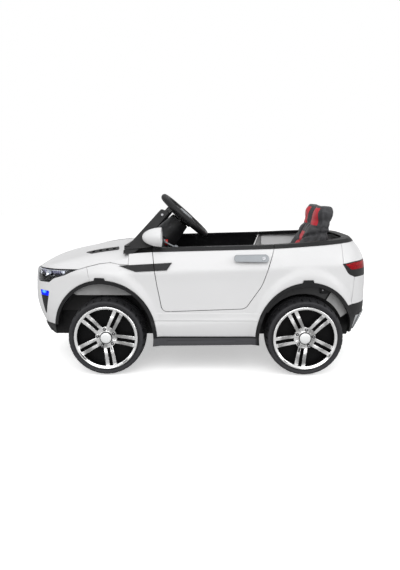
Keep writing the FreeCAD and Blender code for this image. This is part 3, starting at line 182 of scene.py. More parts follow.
class Graph:
    """An emptied node tree and the ways of adding nodes to it."""

    def __init__(self, owner):
        owner.use_nodes = True
        self.tree = owner.node_tree
        self.tree.nodes.clear()

    def add(self, kind, settings=None, inputs=None, output=0):
        """Any node: its type, its settings, the values or links of its sockets, and the output wanted."""
        node = self.tree.nodes.new(kind)
        for key, value in (settings or {}).items():
            setattr(node, key, value)
        for key, value in (inputs or {}).items():
            self.join(node.inputs[key], value)
        return None if output is None else Wire(self, node.outputs[output])

    def join(self, socket, value):
        if isinstance(value, Wire):
            self.tree.links.new(value.socket, socket)
        else:
            socket.default_value = value

    def maths(self, operation, *values):
        """One Math node on one or two values."""
        return self.add("ShaderNodeMath", {"operation": operation}, dict(enumerate(values)))

    def light_path(self, kind):
        return self.add("ShaderNodeLightPath", output=kind)

    def ramp(self, value, low, high, start=0.0, end=1.0):
        """Smooth step of a value between two limits, carried onto start and end."""
        sockets = {"Value": value, "From Min": low, "From Max": high, "To Min": start, "To Max": end}
        return self.add("ShaderNodeMapRange", {"interpolation_type": "SMOOTHSTEP"}, sockets)

    def fall(self, value, low, high):
        """1 below the low limit and 0 above the high one, smooth between."""
        return 1.0 - self.ramp(value, low, high)

    def parts(self, vector):
        """The three numbers of a vector."""
        split = self.add("ShaderNodeSeparateXYZ", None, {0: vector})
        return [Wire(self, socket) for socket in split.socket.node.outputs]


class Finish(Graph):
    """A node material around one Principled shader."""

    def __init__(self, name):
        self.material = bpy.data.materials.new(name)
        super().__init__(self.material)
        self.output = self.tree.nodes.new("ShaderNodeOutputMaterial")
        self.shader = self.tree.nodes.new("ShaderNodeBsdfPrincipled")
        self.tree.links.new(self.shader.outputs[0], self.output.inputs[0])

    def put(self, values):
        """Sets or links the shader's own sockets and gives the material back."""
        for key, value in values.items():
            self.join(self.shader.inputs[key], value)
        return self.material

    def place(self):
        return self.add("ShaderNodeTexCoord", output="Object")

    def axes(self):
        return self.parts(self.place())

    def radius(self, centre, flat=1.0):
        """Distance in side view from a centre (x, z), with its share along x scaled."""
        x, _, z = self.axes()
        return (((x - centre[0]) * flat) ** 2.0 + (z - centre[1]) ** 2.0) ** 0.5

    def noise(self, scale, detail=3.0, roughness=0.5, stretch=None):
        where = self.place()
        if stretch:
            where = self.add("ShaderNodeMapping", None, {"Vector": where, "Scale": stretch})
        sockets = {"Vector": where, "Scale": scale, "Detail": detail, "Roughness": roughness}
        return self.add("ShaderNodeTexNoise", None, sockets)

    def cells(self, scale):
        return self.add("ShaderNodeTexVoronoi", None, {"Vector": self.place(), "Scale": scale}, "Distance")

    def blend(self, factor, first, second):
        """Colour mix from first to second."""
        return self.add("ShaderNodeMix", {"data_type": "RGBA"}, {0: factor, 6: first, 7: second}, 2)

    def bump(self, height, strength, distance, under=None):
        sockets = {"Height": height, "Strength": strength, "Distance": distance}
        if under is not None:
            sockets["Normal"] = under
        return self.add("ShaderNodeBump", None, sockets)

    def soft_edges(self, radius):
        """Normal that rounds off the CAD edges by a radius."""
        return self.add("ShaderNodeBevel", {"samples": 4}, {"Radius": radius})


def rgb(colour, factor=1.0):
    return (colour[0] * factor, colour[1] * factor, colour[2] * factor, 1.0)


def door_creases(f):
    """Height of two steps under the doors: up at the low crease, part of the way down at the high one."""
    x, y, z = f.axes()
    steps = f.ramp(z, *LOW_CREASE) + 0.6 * f.fall(z, *HIGH_CREASE)
    return steps * f.fall(abs(x - 0.03), 0.19, 0.23) * f.ramp(abs(y), 0.22, 0.23)


def glossy_shell(name, colour, roughness=0.36, edge=0.0012, creased=False):
    """Moulded glossy plastic: faint shade drift, long waves, a fine skin and, on the body, its creases."""
    f = Finish(name)
    drift = f.noise(5.0, 2.0)
    shade = f.blend(f.ramp(drift, 0.3, 0.7), rgb(colour, 0.985), rgb(colour))
    waves = f.bump(f.noise(7.0, 1.0), 0.06, 0.004, f.soft_edges(edge))
    skin = f.bump(f.noise(420.0, 1.0), 0.03, 0.0003, waves)
    if creased:
        skin = f.bump(door_creases(f), 1.0, 0.0016, skin)
    rough = f.ramp(drift, 0.3, 0.8, roughness - 0.04, roughness + 0.06)
    return f.put({"Base Color": shade, "Roughness": rough, "Normal": skin, "Coat Weight": 0.06,
                  "Coat Roughness": 0.16, "Specular IOR Level": 0.28})


def painted_sill_light_mask(f):
    """1 on the cladding along the sill, between the wheels, where light is painted in; 0 elsewhere."""
    x, _, z = f.axes()
    return f.fall(z, *SILL_EDGE) * f.fall(abs(x), 0.17, 0.18)


def grained_plastic(name, colour, roughness=0.5, grain=700.0, depth=0.0005, edge=0.001, shine=0.45,
                    sill=1.0):
    """Satin plastic with a stippled grain and slightly rubbed high spots; its sill may carry painted light, a
    paler colour on the same plastic.
    """
    f = Finish(name)
    cells = f.cells(grain)
    cloud = f.noise(24.0, 4.0)
    rub = f.ramp(f.noise(90.0, 4.0, 0.7), 0.58, 0.78)
    shade = f.blend(f.ramp(cloud, 0.35, 0.7), rgb(colour, 0.86), rgb(colour, 1.1))
    shade = f.blend(rub * 0.3, shade, rgb(colour, 1.6))
    # painted light: the sill's colour is raised by a factor to stand in for light thrown up from the floor
    if sill != 1.0:
        shade = f.blend(painted_sill_light_mask(f), shade, rgb(colour, sill))
    bump = f.bump(cells, 0.35, depth, f.soft_edges(edge))
    rough = f.ramp(cloud, 0.3, 0.7, roughness - 0.06, roughness + 0.08)
    return f.put({"Base Color": shade, "Roughness": rough, "Normal": bump, "Specular IOR Level": shine})


def plated(name, colour, roughness, edge):
    """Bright plating on moulded plastic: mirror-like with patches, a faint haze and shallow ripples."""
    f = Finish(name)
    haze = f.noise(60.0, 4.0)
    shade = f.blend(f.ramp(f.noise(30.0, 1.0), 0.36, 0.6), rgb(colour, 0.92), rgb(colour))
    ripple = f.bump(f.noise(45.0, 2.0), 0.06, 0.002, f.soft_edges(edge))
    rough = f.ramp(haze, 0.3, 0.75, roughness, roughness + 0.1)
    return f.put({"Base Color": shade, "Roughness": rough, "Metallic": 1.0, "Normal": ripple})


def chrome_with_painted_reflections(name, colour, axle):
    """Plating on the wheel covers: each spoke folds at a ridge half way out; the spokes carry painted dark
    reflection patches, and the rim is brighter as a painted reflection.
    """
    f = Finish(name)
    radius = f.radius(axle)
    # painted reflection: darker patches in the spokes' colour stand in for dark surroundings mirrored in the
    # plating
    patches = f.ramp(f.noise(30.0, 1.0), 0.36, 0.6)
    spokes = f.blend(patches, rgb(colour, 0.5), rgb(colour))
    # painted reflection: the rim is 15 per cent brighter and free of the dark patches
    shade = f.blend(f.ramp(radius, *RIM_EDGE), spokes, rgb(colour, 1.15))
    fold = f.fall(abs(radius - SPOKE_RIDGE), 0.0, 0.028)
    ridge = f.bump(fold, 1.0, 0.008, f.soft_edges(0.003))
    rough = f.ramp(f.noise(60.0, 4.0), 0.3, 0.75, 0.08, 0.2)
    return f.put({"Base Color": shade, "Roughness": rough, "Metallic": 1.0, "Normal": ridge})


def silver_paint(name, colour, roughness=0.42):
    """Metal-flake paint: fine bright specks under a satin coat."""
    f = Finish(name)
    specks = f.cells(2600.0)
    cloud = f.noise(30.0, 3.0)
    shade = f.blend(f.ramp(specks, 0.1, 0.5), rgb(colour, 1.12), rgb(colour, 0.94))
    bump = f.bump(specks, 0.06, 0.0002, f.soft_edges(0.0012))
    rough = f.ramp(cloud, 0.3, 0.7, roughness - 0.05, roughness + 0.06)
    return f.put({"Base Color": shade, "Roughness": rough, "Metallic": 0.3, "Normal": bump})


def zinc_steel(name, colour):
    """Zinc-plated steel with drawn streaks."""
    f = Finish(name)
    streaks = f.noise(40.0, 4.0, 0.6, (1.0, 14.0, 1.0))
    shade = f.blend(f.ramp(streaks, 0.35, 0.7), rgb(colour, 0.8), rgb(colour, 1.1))
    rough = f.ramp(streaks, 0.3, 0.7, 0.28, 0.5)
    return f.put({"Base Color": shade, "Roughness": rough, "Metallic": 1.0,
                  "Normal": f.bump(streaks, 0.12, 0.0006)})


def tyre_rubber(name, axle, tread, wall):
    """Tyre: dull sidewall with fine rings about the axle, and a blacker tread."""
    f = Finish(name)
    radius = f.radius(axle)
    rings = f.maths("SINE", radius * 2600.0)
    banded = f.ramp(radius, *WALL_RINGS_START) * f.fall(radius, *WALL_RINGS_END)
    scuff = f.noise(70.0, 5.0, 0.65)
    shade = f.blend(f.ramp(radius, *TREAD_EDGE), rgb(wall), rgb(tread))
    shade = f.blend(f.ramp(scuff, 0.52, 0.75, 0.0, 0.35), shade, rgb(wall, 1.5))
    height = rings * banded * 0.5 + f.noise(520.0, 2.0) * 0.35
    rough = f.ramp(scuff, 0.3, 0.7, 0.55, 0.78)
    return f.put({"Base Color": shade, "Roughness": rough, "Normal": f.bump(height, 0.35, 0.0008),
                  "Specular IOR Level": 0.35})


def clear_cover(name, tint):
    """Clear moulded lens with very faint flow marks."""
    f = Finish(name)
    flow = f.noise(26.0, 2.0)
    bump = f.bump(flow, 0.05, 0.0015)
    rough = f.ramp(flow, 0.3, 0.7, 0.01, 0.05)
    return f.put({"Base Color": rgb(tint), "Roughness": rough, "Normal": bump, "Transmission Weight": 1.0,
                  "IOR": 1.12})


def lit_lens(name, colour, strength, pitch, core=None):
    """Coloured lens with moulded prisms and a glow of its own, which is paler about any core (x, z)."""
    f = Finish(name)
    prism = f.cells(pitch)
    glow = f.blend(f.ramp(prism, 0.05, 0.55), rgb(colour), rgb(colour, 0.45))
    if core is not None:
        near = f.fall(f.radius(core, 0.6), 0.0015, 0.007)
        glow = f.blend(near, glow, rgb((0.06, 0.28, 0.9)))
    bump = f.bump(prism, 0.5, 0.001)
    return f.put({"Base Color": glow, "Roughness": f.ramp(prism, 0.0, 0.6, 0.08, 0.2), "Normal": bump,
                  "Emission Color": glow, "Emission Strength": strength, "Specular IOR Level": 0.08})


def leatherette(name, black, red=None):
    """Grained leatherette: pebbled cells, soft creases and, where a red is given, the seat's red panels."""
    f = Finish(name)
    pebbles = f.cells(420.0)
    creases = f.noise(55.0, 4.0, 0.6)
    shade = f.blend(f.ramp(creases, 0.35, 0.7), rgb(black, 0.8), rgb(black, 1.35))
    if red is not None:
        ruby = f.blend(f.ramp(creases, 0.35, 0.7), rgb(red, 0.85), rgb(red, 1.1))
        shade = f.blend(seat_panel_mask(f), shade, ruby)
    height = f.ramp(pebbles, 0.0, 0.55) * 0.7 + creases * 0.6
    rough = f.ramp(creases, 0.3, 0.7, 0.4, 0.56)
    return f.put({"Base Color": shade, "Roughness": rough, "Normal": f.bump(height, 0.3, 0.0009),
                  "Specular IOR Level": 0.22})


def seat_panel_mask(f):
    """1 on the front of each headrest and on the stripe down the back, 0 elsewhere."""
    _, y, z = f.axes()
    ahead = f.parts(f.add("ShaderNodeNewGeometry", output="Normal"))[0]
    head = f.fall(abs(abs(y) - PANEL_MIDDLE), *PANEL_SIDE) * f.ramp(z, *PANEL_LOW) * f.fall(z, *PANEL_HIGH)
    stripe = f.fall(abs(y), *STRIPE_SIDE) * f.fall(z, *STRIPE_TOP)
    return f.fall(ahead, -0.35, -0.2) * (head + stripe)


def unit_grid(rows, columns):
    """Two parameters from 0 to 1 on a rows by columns grid."""
    return np.meshgrid(np.linspace(0, 1, rows), np.linspace(0, 1, columns), indexing="ij")


def grid_faces(rows, columns, close_columns=False):
    """Quads of a rows by columns grid, optionally joined round."""
    i, j = np.meshgrid(np.arange(rows - 1), np.arange(columns - 1 + close_columns), indexing="ij")
    here, beyond = i * columns, (i + 1) * columns
    following = (j + 1) % columns
    return np.stack([here + j, here + following, beyond + following, beyond + j], -1).reshape(-1, 4)


def fitting(name, parts, material, body):
    """Mesh object from (points, faces) arrays, merged, facing outwards and riding on a body."""
    points, faces, start = [], [], 0
    for p, q in parts:
        points.append(p)
        faces.append(q + start)
        start += len(p)
    mesh = bpy.data.meshes.new(name)
    mesh.from_pydata(np.concatenate(points).tolist(), [], np.concatenate(faces).tolist())
    work = bmesh.new()
    work.from_mesh(mesh)
    bmesh.ops.remove_doubles(work, verts=work.verts, dist=2e-6)
    bmesh.ops.recalc_face_normals(work, faces=work.faces)
    work.to_mesh(mesh)
    work.free()
    mesh.polygons.foreach_set("use_smooth", np.ones(len(mesh.polygons), bool))
    mesh.set_sharp_from_angle(angle=math.radians(38))
    piece = bpy.data.objects.new(name, mesh)
    bpy.context.scene.collection.objects.link(piece)
    mesh.materials.append(material)
    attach(piece, body)


def turned(profile, centre, axis, segments=40):
    """Surface of revolution: (radius, height) rows swept round an axis through a centre."""
    profile = np.asarray(profile, float)
    axis = np.asarray(axis, float) / np.linalg.norm(axis)
    side = np.cross(axis, (0.0, 0.0, 1.0) if abs(axis[2]) < 0.9 else (1.0, 0.0, 0.0))
    side /= np.linalg.norm(side)
    other = np.cross(axis, side)
    turn = np.linspace(0, 2 * np.pi, segments, endpoint=False)
    ring = np.cos(turn)[:, None] * side + np.sin(turn)[:, None] * other
    points = (np.asarray(centre, float) + profile[:, None, 0, None] * ring[None] +
              profile[:, None, 1, None] * axis)
    return points.reshape(-1, 3), grid_faces(len(profile), segments, close_columns=True)


def pillow_block(centre, half, square=0.35, rows=17, columns=32):
    """Superellipsoid: cosines and sines raised to a low power give a block with rounded edges."""
    u = np.linspace(-np.pi / 2, np.pi / 2, rows)[:, None]
    v = np.linspace(0, 2 * np.pi, columns, endpoint=False)[None]

    def power(value):
        return np.sign(value) * np.abs(value) ** square

    x = power(np.cos(u)) * power(np.cos(v))
    y = power(np.cos(u)) * power(np.sin(v))
    z = power(np.sin(u)) * np.ones_like(v)
    points = np.stack([x, y, z], -1).reshape(-1, 3) * np.asarray(half)
    return points + np.asarray(centre), grid_faces(rows, columns, close_columns=True)


def screw_head(centre, axis, radius):
    """Domed head with a sunk round drive, turned about its axis."""
    r = radius
    profile = [(0, 0.25 * r), (0.38 * r, 0.25 * r), (0.42 * r, 0.62 * r), (0.7 * r, 0.55 * r),
               (0.95 * r, 0.3 * r), (r, 0.0), (0.9 * r, -0.4 * r), (0, -0.4 * r)]
    return turned(profile, centre, axis, 20)


def smooth_step(low, high, value):
    """0 at low and 1 at high, cubic between and level outside, on whole arrays."""
    s = np.clip((value - low) / (high - low), 0, 1)
    return s * s * (3 - 2 * s)


def normals_of(mesh):
    """Vertex normals as rows of x, y and z."""
    flat = np.empty(len(mesh.vertices) * 3)
    mesh.vertices.foreach_get("normal", flat)
    return flat.reshape(-1, 3)


def set_points(mesh, points):
    mesh.vertices.foreach_set("co", np.ascontiguousarray(points).ravel())
    mesh.update()


def baked(piece):
    """New mesh of a piece with its modifiers applied."""
    graph = bpy.context.evaluated_depsgraph_get()
    return bpy.data.meshes.new_from_object(piece.evaluated_get(graph))


def stuffed_pad(name, node, shrink, cap, voxel, groove):
    """Padded form of a CAD solid: voxel skin, drawn in, blown up as cloth, then its seams pressed in."""
    mesh = NODES[node].data.copy()
    work = bmesh.new()
    work.from_mesh(mesh)
    bmesh.ops.remove_doubles(work, verts=work.verts, dist=1e-5)
    work.to_mesh(mesh)
    work.free()
    piece = bpy.data.objects.new(name, mesh)
    bpy.context.scene.collection.objects.link(piece)
    remesh = piece.modifiers.new("skin", "REMESH")
    remesh.mode = "VOXEL"
    remesh.voxel_size = voxel
    piece.data = baked(piece)
    piece.modifiers.clear()
    set_points(piece.data, points_of(piece.data) - normals_of(piece.data) * shrink)
    blown_up(piece, cap)
    mesh = piece.data
    points = points_of(mesh)
    set_points(mesh, points - normals_of(mesh) * groove(points)[:, None])
    mesh.materials.clear()
    mesh.polygons.foreach_set("use_smooth", np.ones(len(mesh.polygons), bool))
    finer = piece.modifiers.new("finer", "SUBSURF")
    finer.levels = finer.render_levels = 1
    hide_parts(node)
    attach(piece, "car_body")
    return piece


def blown_up(piece, cap):
    """Cloth under inner pressure for twenty frames; no point moves further than the cap."""
    start = points_of(piece.data)
    cloth = piece.modifiers.new("cloth", "CLOTH")
    cloth.settings.quality = 5
    cloth.settings.use_pressure = True
    cloth.settings.uniform_pressure_force = 4.0
    cloth.settings.effector_weights.gravity = 0.0
    cloth.collision_settings.use_collision = False
    scene = bpy.context.scene
    for number in range(1, 21):
        scene.frame_set(number)
    piece.data = baked(piece)
    piece.modifiers.clear()
    scene.frame_set(1)
    move = points_of(piece.data) - start
    length = np.linalg.norm(move, axis=1, keepdims=True)
    set_points(piece.data, start + move * np.minimum(1.0, cap / np.maximum(length, 1e-9)))


class RideOnColours(bpy.types.PropertyGroup):
    """Colours of the car's finishes."""
    shell: bpy.props.FloatVectorProperty(name="Shell", description="Moulded body colour", subtype="COLOR",
                                         default=(0.64, 0.64, 0.645))
    trim: bpy.props.FloatVectorProperty(name="Trim", description="Satin trim colour", subtype="COLOR",
                                        default=(0.011, 0.011, 0.0118))
    liner: bpy.props.FloatVectorProperty(name="Arch faces", description="Grey faces over the wheels",
                                         subtype="COLOR", default=(0.33, 0.33, 0.33))
    # the wheel wells' own colour, also used for the painted shade on the rear liner rings
    well_and_painted_shade: bpy.props.FloatVectorProperty(name="Wheel wells", description="Liner colour", subtype="COLOR",
                                        default=(0.03, 0.03, 0.031))
    silver: bpy.props.FloatVectorProperty(name="Silver", description="Handle paint", subtype="COLOR",
                                          default=(0.25, 0.265, 0.28))
    skid: bpy.props.FloatVectorProperty(name="Skid plates", description="Skid plate paint", subtype="COLOR",
                                        default=(0.55, 0.56, 0.57))
    chrome: bpy.props.FloatVectorProperty(name="Chrome", description="Wheel cover plating", subtype="COLOR",
                                          default=(0.8, 0.8, 0.8))
    tread: bpy.props.FloatVectorProperty(name="Tread", description="Tyre tread colour", subtype="COLOR",
                                         default=(0.014, 0.014, 0.016))
    wall: bpy.props.FloatVectorProperty(name="Sidewall", description="Tyre sidewall colour", subtype="COLOR",
                                        default=(0.024, 0.024, 0.027))
    leather: bpy.props.FloatVectorProperty(name="Leatherette", description="Main seat colour",
                                           subtype="COLOR", default=(0.043, 0.043, 0.046))
    panel: bpy.props.FloatVectorProperty(name="Seat panels", description="Seat panel colour", subtype="COLOR",
                                         default=(0.55, 0.02, 0.035))
    lamp: bpy.props.FloatVectorProperty(name="Corner lamps", description="Glow of the corner lamps",
                                        subtype="COLOR", default=(0.0, 0.015, 0.85))
    tail: bpy.props.FloatVectorProperty(name="Tail lamps", description="Tail lens colour", subtype="COLOR",
                                        default=(0.4, 0.006, 0.012))


class RideOnSizes(bpy.types.PropertyGroup):
    """Sizes of the soft pieces and the screws, and the power of the light."""
    voxel: bpy.props.FloatProperty(name="Pad skin", description="Voxel of the padded pieces", default=0.005,
                                   unit="LENGTH")
    swell: bpy.props.FloatProperty(name="Pad swell", description="How far a pad's skin may blow out",
                                   default=0.009, unit="LENGTH")
    seam: bpy.props.FloatProperty(name="Seam depth", description="Depth of the sewn channels", default=0.008,
                                  unit="LENGTH")
    lift: bpy.props.FloatProperty(name="Headrest lift", default=0.009, unit="LENGTH",
                                  description="How far the stuffing raises the headrests")
    screw: bpy.props.FloatProperty(name="Screw head", description="Radius of the screw heads", default=0.0042,
                                   unit="LENGTH")
    light: bpy.props.FloatProperty(name="Softbox", description="Power of the main softbox", default=55.0,
                                   unit="POWER")


class RIDEON_OT_stage(bpy.types.Operator):
    """Pale floor, soft studio light and the camera"""
    bl_idname = "rideon.stage"
    bl_label = "Stage"

    def execute(self, context):
        scene = context.scene
        scene.view_settings.view_transform = "Standard"
        self.floor(scene)
        self.world(scene)
        self.lamps(scene)
        camera = bpy.data.cameras.new("photo_camera")
        camera.lens = CAMERA_LENS
        camera.sensor_width = 36.0
        camera.clip_start = 0.05
        eye = bpy.data.objects.new("photo_camera", camera)
        eye.location = CAMERA_PLACE
        eye.rotation_euler = (math.radians(90 - CAMERA_DIP), 0.0, math.radians(CAMERA_TURN))
        scene.collection.objects.link(eye)
        scene.camera = eye
        return {"FINISHED"}

    def floor(self, scene):
        """Flat square on a grid: pale to the camera, darker to other rays, with some light of its own."""
        line = np.linspace(-FLOOR_HALF, FLOOR_HALF, FLOOR_LINES)
        x, y = np.meshgrid(line, line, indexing="ij")
        points = np.stack([x, y, np.zeros_like(x)], -1).reshape(-1, 3)
        mesh = bpy.data.meshes.new("floor")
        mesh.from_pydata(points.tolist(), [], grid_faces(FLOOR_LINES, FLOOR_LINES)[:, ::-1].tolist())
        f = Finish("floor_paper")
        drift = f.noise(0.8, 2.0)
        pale = f.blend(drift, rgb((0.9, 0.9, 0.9)), rgb((0.93, 0.93, 0.93)))
        pale = f.blend(f.light_path("Is Camera Ray"), rgb((0.36, 0.36, 0.36)), pale)
        f.put({"Base Color": pale, "Roughness": 0.75, "Specular IOR Level": 0.2, "Emission Color": pale,
               "Emission Strength": 0.52})
        mesh.materials.append(f.material)
        floor = bpy.data.objects.new("floor", mesh)
        scene.collection.objects.link(floor)

    def world(self, scene):
        """White to the camera, brighter overhead for light; mirrors see one dark strip under the ceiling."""
        scene.world = bpy.data.worlds.new("studio")
        g = Graph(scene.world)
        height = g.parts(g.add("ShaderNodeNewGeometry", output="Incoming"))[2] * -1.0
        strip = g.ramp(height, 0.2, 0.26) * g.fall(height, 0.42, 0.5)
        mirrored = g.ramp(strip, 0.0, 1.0, 0.95, 0.08)
        dome = g.ramp(height, -0.1, 0.8, 0.52, 0.74)
        lit = g.add("ShaderNodeMix", None, {0: g.light_path("Is Glossy Ray"), 2: dome, 3: mirrored})
        seen = g.maths("MAXIMUM", g.light_path("Is Camera Ray"), g.light_path("Is Transmission Ray"))
        level = g.add("ShaderNodeMix", None, {0: seen, 2: lit, 3: 1.0})
        back = g.add("ShaderNodeBackground", None, {"Color": rgb((1.0, 1.0, 1.0)), "Strength": level})
        g.add("ShaderNodeOutputWorld", None, {0: back}, None)

    def lamps(self, scene):
        """Square area lights, each turned to look at its aim."""
        for name, spot, aim, size, share in SOFTBOXES:
            lamp = bpy.data.lights.new(name, "AREA")
            lamp.size = size
            lamp.energy = scene.rideon_sizes.light * share
            box = bpy.data.objects.new(name, lamp)
            box.location = spot
            way = np.asarray(aim) - np.asarray(spot)
            tilt = math.atan2(math.hypot(way[0], way[1]), -way[2])
            box.rotation_euler = (tilt, 0.0, math.atan2(way[1], way[0]) - math.pi / 2)
            scene.collection.objects.link(box)


FINISH_OF_NODE = {
    "shell": ("bonnet", "front_bumper", "side_panel_left", "side_panel_right", "tail_panel",
              "mirror_housings", "door_skin_left", "door_skin_right"),
    "cladding": ("side_cladding",),
    "trim": ("front_grille", "lamp_housings", "body_vents", "belt_rails", "windscreen_frame",
             "dashboard", "rear_bumper", "front_lip", "door_inner_left", "door_inner_right", "steering_wheel",
             "seat_shell", "chassis_tub", "accelerator_pedal", "drive_units", "battery", "door_bolt_left",
             "door_bolt_right"),
    "liner": ("arch_liners",),
    "lamp": ("corner_lamp_lenses",),
    "clear": ("headlight_lenses", "windscreen_pane"),
    "tail": ("tail_light_lenses",),
    "skid": ("skid_plates",),
    "silver": ("door_handle_left", "door_handle_right", "shift_lever", "horn_pad"),
    "mirror": ("mirror_glasses",),
    "steel": ("steering_column", "hinge_rods", "rear_axle", "tie_rod", "front_axle_beam", "knuckle_left",
              "knuckle_right"),
    "button": ("start_button",),
    "rubber_front": ("tyre_front_left", "tyre_front_right"),
    "rubber_rear": ("tyre_rear_left", "tyre_rear_right"),
    "dish": ("wheel_body_front_left", "wheel_body_front_right", "wheel_body_rear_left",
             "wheel_body_rear_right"),
    "chrome_front_painted_reflections": ("wheel_cover_front_left", "wheel_cover_front_right"),
    "chrome_rear_painted_reflections": ("wheel_cover_rear_left", "wheel_cover_rear_right"),
}


class RIDEON_OT_finishes(bpy.types.Operator):
    """Procedural finishes on the CAD nodes"""
    bl_idname = "rideon.finishes"
    bl_label = "Finishes"

    def execute(self, context):
        c = context.scene.rideon_colours
        lens = points_of(NODES["corner_lamp_lenses"].data)
        core = lens[lens[:, 1] < 0].mean(0)[[0, 2]]
        finishes = {
            "shell": glossy_shell("white_shell", c.shell, creased=True),
            "trim": grained_plastic("satin_trim", c.trim, 0.42, shine=0.22),
            # painted light: the sill of this black plastic is six times paler
            "cladding": grained_plastic("cladding_with_painted_sill_light", c.trim, 0.42, shine=0.22, sill=6.0),
            "liner": grained_plastic("liner_dark", c.well_and_painted_shade, 0.6, 500.0),
            "lamp": lit_lens("corner_glow", c.lamp, 1.2, 240.0, core),
            "clear": clear_cover("clear_cover", (0.97, 0.98, 1.0)),
            "tail": lit_lens("tail_red", c.tail, 0.15, 190.0),
            "silver": silver_paint("silver_paint", c.silver),
            "skid": silver_paint("skid_paint", c.skid),
            "mirror": plated("mirror_film", (0.9, 0.9, 0.92), 0.01, 0.0004),
            "steel": zinc_steel("zinc_steel", (0.55, 0.55, 0.56)),
            "button": glossy_shell("button_red", (0.5, 0.02, 0.02), 0.2, 0.0006),
            "rubber_front": tyre_rubber("tyre_front", FRONT_AXLE, c.tread, c.wall),
            "rubber_rear": tyre_rubber("tyre_rear", REAR_AXLE, c.tread, c.wall),
            "dish": grained_plastic("wheel_black", (0.004, 0.004, 0.0045), 0.5, 900.0, 0.0002, 0.001, 0.12),
            "chrome_front_painted_reflections": chrome_with_painted_reflections("chrome_front_painted_reflections", c.chrome, FRONT_AXLE),
            "chrome_rear_painted_reflections": chrome_with_painted_reflections("chrome_rear_painted_reflections", c.chrome, REAR_AXLE),
        }
        for key, names in FINISH_OF_NODE.items():
            for name in names:
                for place in NODES[name].material_slots:
                    place.material = finishes[key]
        return {"FINISHED"}


def back_front(x, z):
    """1 on the front of the seat back and 0 on its rear, from the slab's leaning profile."""
    profile = np.interp(z, (0.3, 0.34, 0.385, 0.425, 0.453), (0.315, 0.325, 0.347, 0.369, 0.379))
    return smooth_step(0.035, 0.0, x - profile)


def seam(line):
    """1 along a line and 0 away from it: a bell curve of the distance."""
    return np.exp(-(line / SEAM_WIDTH) ** 2)


def back_grooves(points):
    """Channel depth on the back pad: slanted, low and upright seams and the necks; the lobes stand out."""
    depth = bpy.context.scene.rideon_sizes.seam
    x, y, z = points.T
    side = np.abs(y) - SEAM_MIDDLE
    slant = np.abs(z - 0.405 - 0.25 * side)
    low = np.abs(z - 0.335 + 0.2 * side)
    edge = np.abs(np.abs(y) - 0.037) + (z > 0.448)
    neck = np.abs(z - NECK + 0.1 * side) * 1.2
    seams = np.max([seam(slant), seam(low), seam(edge), 0.4 * seam(neck)], axis=0)
    lobes = np.exp(-((np.abs(y) - LOBE_MIDDLE) / 0.034) ** 4) * smooth_step(0.445, 0.42, z)
    return depth * seams - 0.006 * lobes * back_front(x, z)


def cushion_grooves(points):
    """Channel depth on the cushion: two seams fore and aft and one across."""
    depth = bpy.context.scene.rideon_sizes.seam
    x, y, z = points.T
    side = np.abs(y) - 0.062
    across = np.abs(x - 0.2 - 0.3 * np.maximum(side, 0))
    top = smooth_step(0.262, 0.27, z)
    return depth * top * np.maximum(seam(side), seam(across))


def settled_back(points, swell, lift):
    """Back pad at rest: its front drawn in below the headrests, their faces leaned and their tops raised."""
    x, y, z = points.T
    corner = 0.8 + smooth_step(0.08, 0.13, np.abs(y))
    drawn = swell * corner * smooth_step(0.49, 0.44, z)
    leaned = 0.007 * np.exp(-((z - 0.478) / 0.022) ** 2) - 0.006 * smooth_step(0.502, 0.525, z)
    raised = lift * smooth_step(0.385, 0.46, z)
    return np.stack([x + back_front(x, z) * (drawn + leaned), y, z + raised], -1)


class RIDEON_OT_seat(bpy.types.Operator):
    """Stuffed seat cushion and two-lobed back"""
    bl_idname = "rideon.seat"
    bl_label = "Seat pads"

    def execute(self, context):
        c = context.scene.rideon_colours
        s = context.scene.rideon_sizes
        back = stuffed_pad("seat_back", "seat_back_pad", 0.004, s.swell, s.voxel, back_grooves)
        set_points(back.data, settled_back(points_of(back.data), s.swell, s.lift))
        back.data.materials.append(leatherette("leatherette_panelled", c.leather, c.panel))
        cushion = stuffed_pad("seat_base", "seat_cushion", 0.005, s.swell, s.voxel, cushion_grooves)
        cushion.data.materials.append(leatherette("leatherette_plain", c.leather))
        return {"FINISHED"}


def nose_skin(x, depth):
    """Half width of the nose at lamp height: a squared oval drawn in by a depth."""
    share = (np.abs(x) / (NOSE_REACH - depth)) ** NOSE_POWER
    return (NOSE_HALF - depth) * (1 - share) ** (1 / NOSE_POWER)


def nose_normal(x, depth):
    """Outward direction of the same oval on the left side, from its gradient."""
    across = nose_skin(x, depth)
    way = np.stack([-(np.abs(x) ** (NOSE_POWER - 1)) / (NOSE_REACH - depth) ** NOSE_POWER,
                    -(across ** (NOSE_POWER - 1)) / (NOSE_HALF - depth) ** NOSE_POWER, np.zeros_like(x)], -1)
    return way / np.linalg.norm(way, axis=-1, keepdims=True)


def lamp_bar(x, z, depth, radius, sides=10):
    """Round bar that follows the nose at a depth, with rings of points about each station."""
    spine = np.stack([x, -nose_skin(x, depth), z], -1)
    out = nose_normal(x, depth)
    turn = np.linspace(0, 2 * np.pi, sides, endpoint=False)
    up = np.array([0.0, 0.0, 1.0])
    ring = np.cos(turn)[None, :, None] * out[:, None] + np.sin(turn)[None, :, None] * up
    taper = np.sqrt(np.clip(1 - np.linspace(-1, 1, len(x)) ** 10, 0, 1))
    points = spine[:, None] + ring * (radius * taper)[:, None, None]
    return points.reshape(-1, 3), grid_faces(len(x), sides, close_columns=True)


def on_both_sides(parts):
    """The parts of the left side and their mirror images."""
    flip = np.array([1.0, -1.0, 1.0])
    return parts + [(points * flip, faces[:, ::-1]) for points, faces in parts]


def bulb_place(x, z):
    """Centre and outward axis of a headlight bulb, on the nose oval drawn in."""
    spot = np.array([x])
    return (x, -nose_skin(spot, BULB_DEPTH)[0], z), nose_normal(spot, BULB_DEPTH)[0]


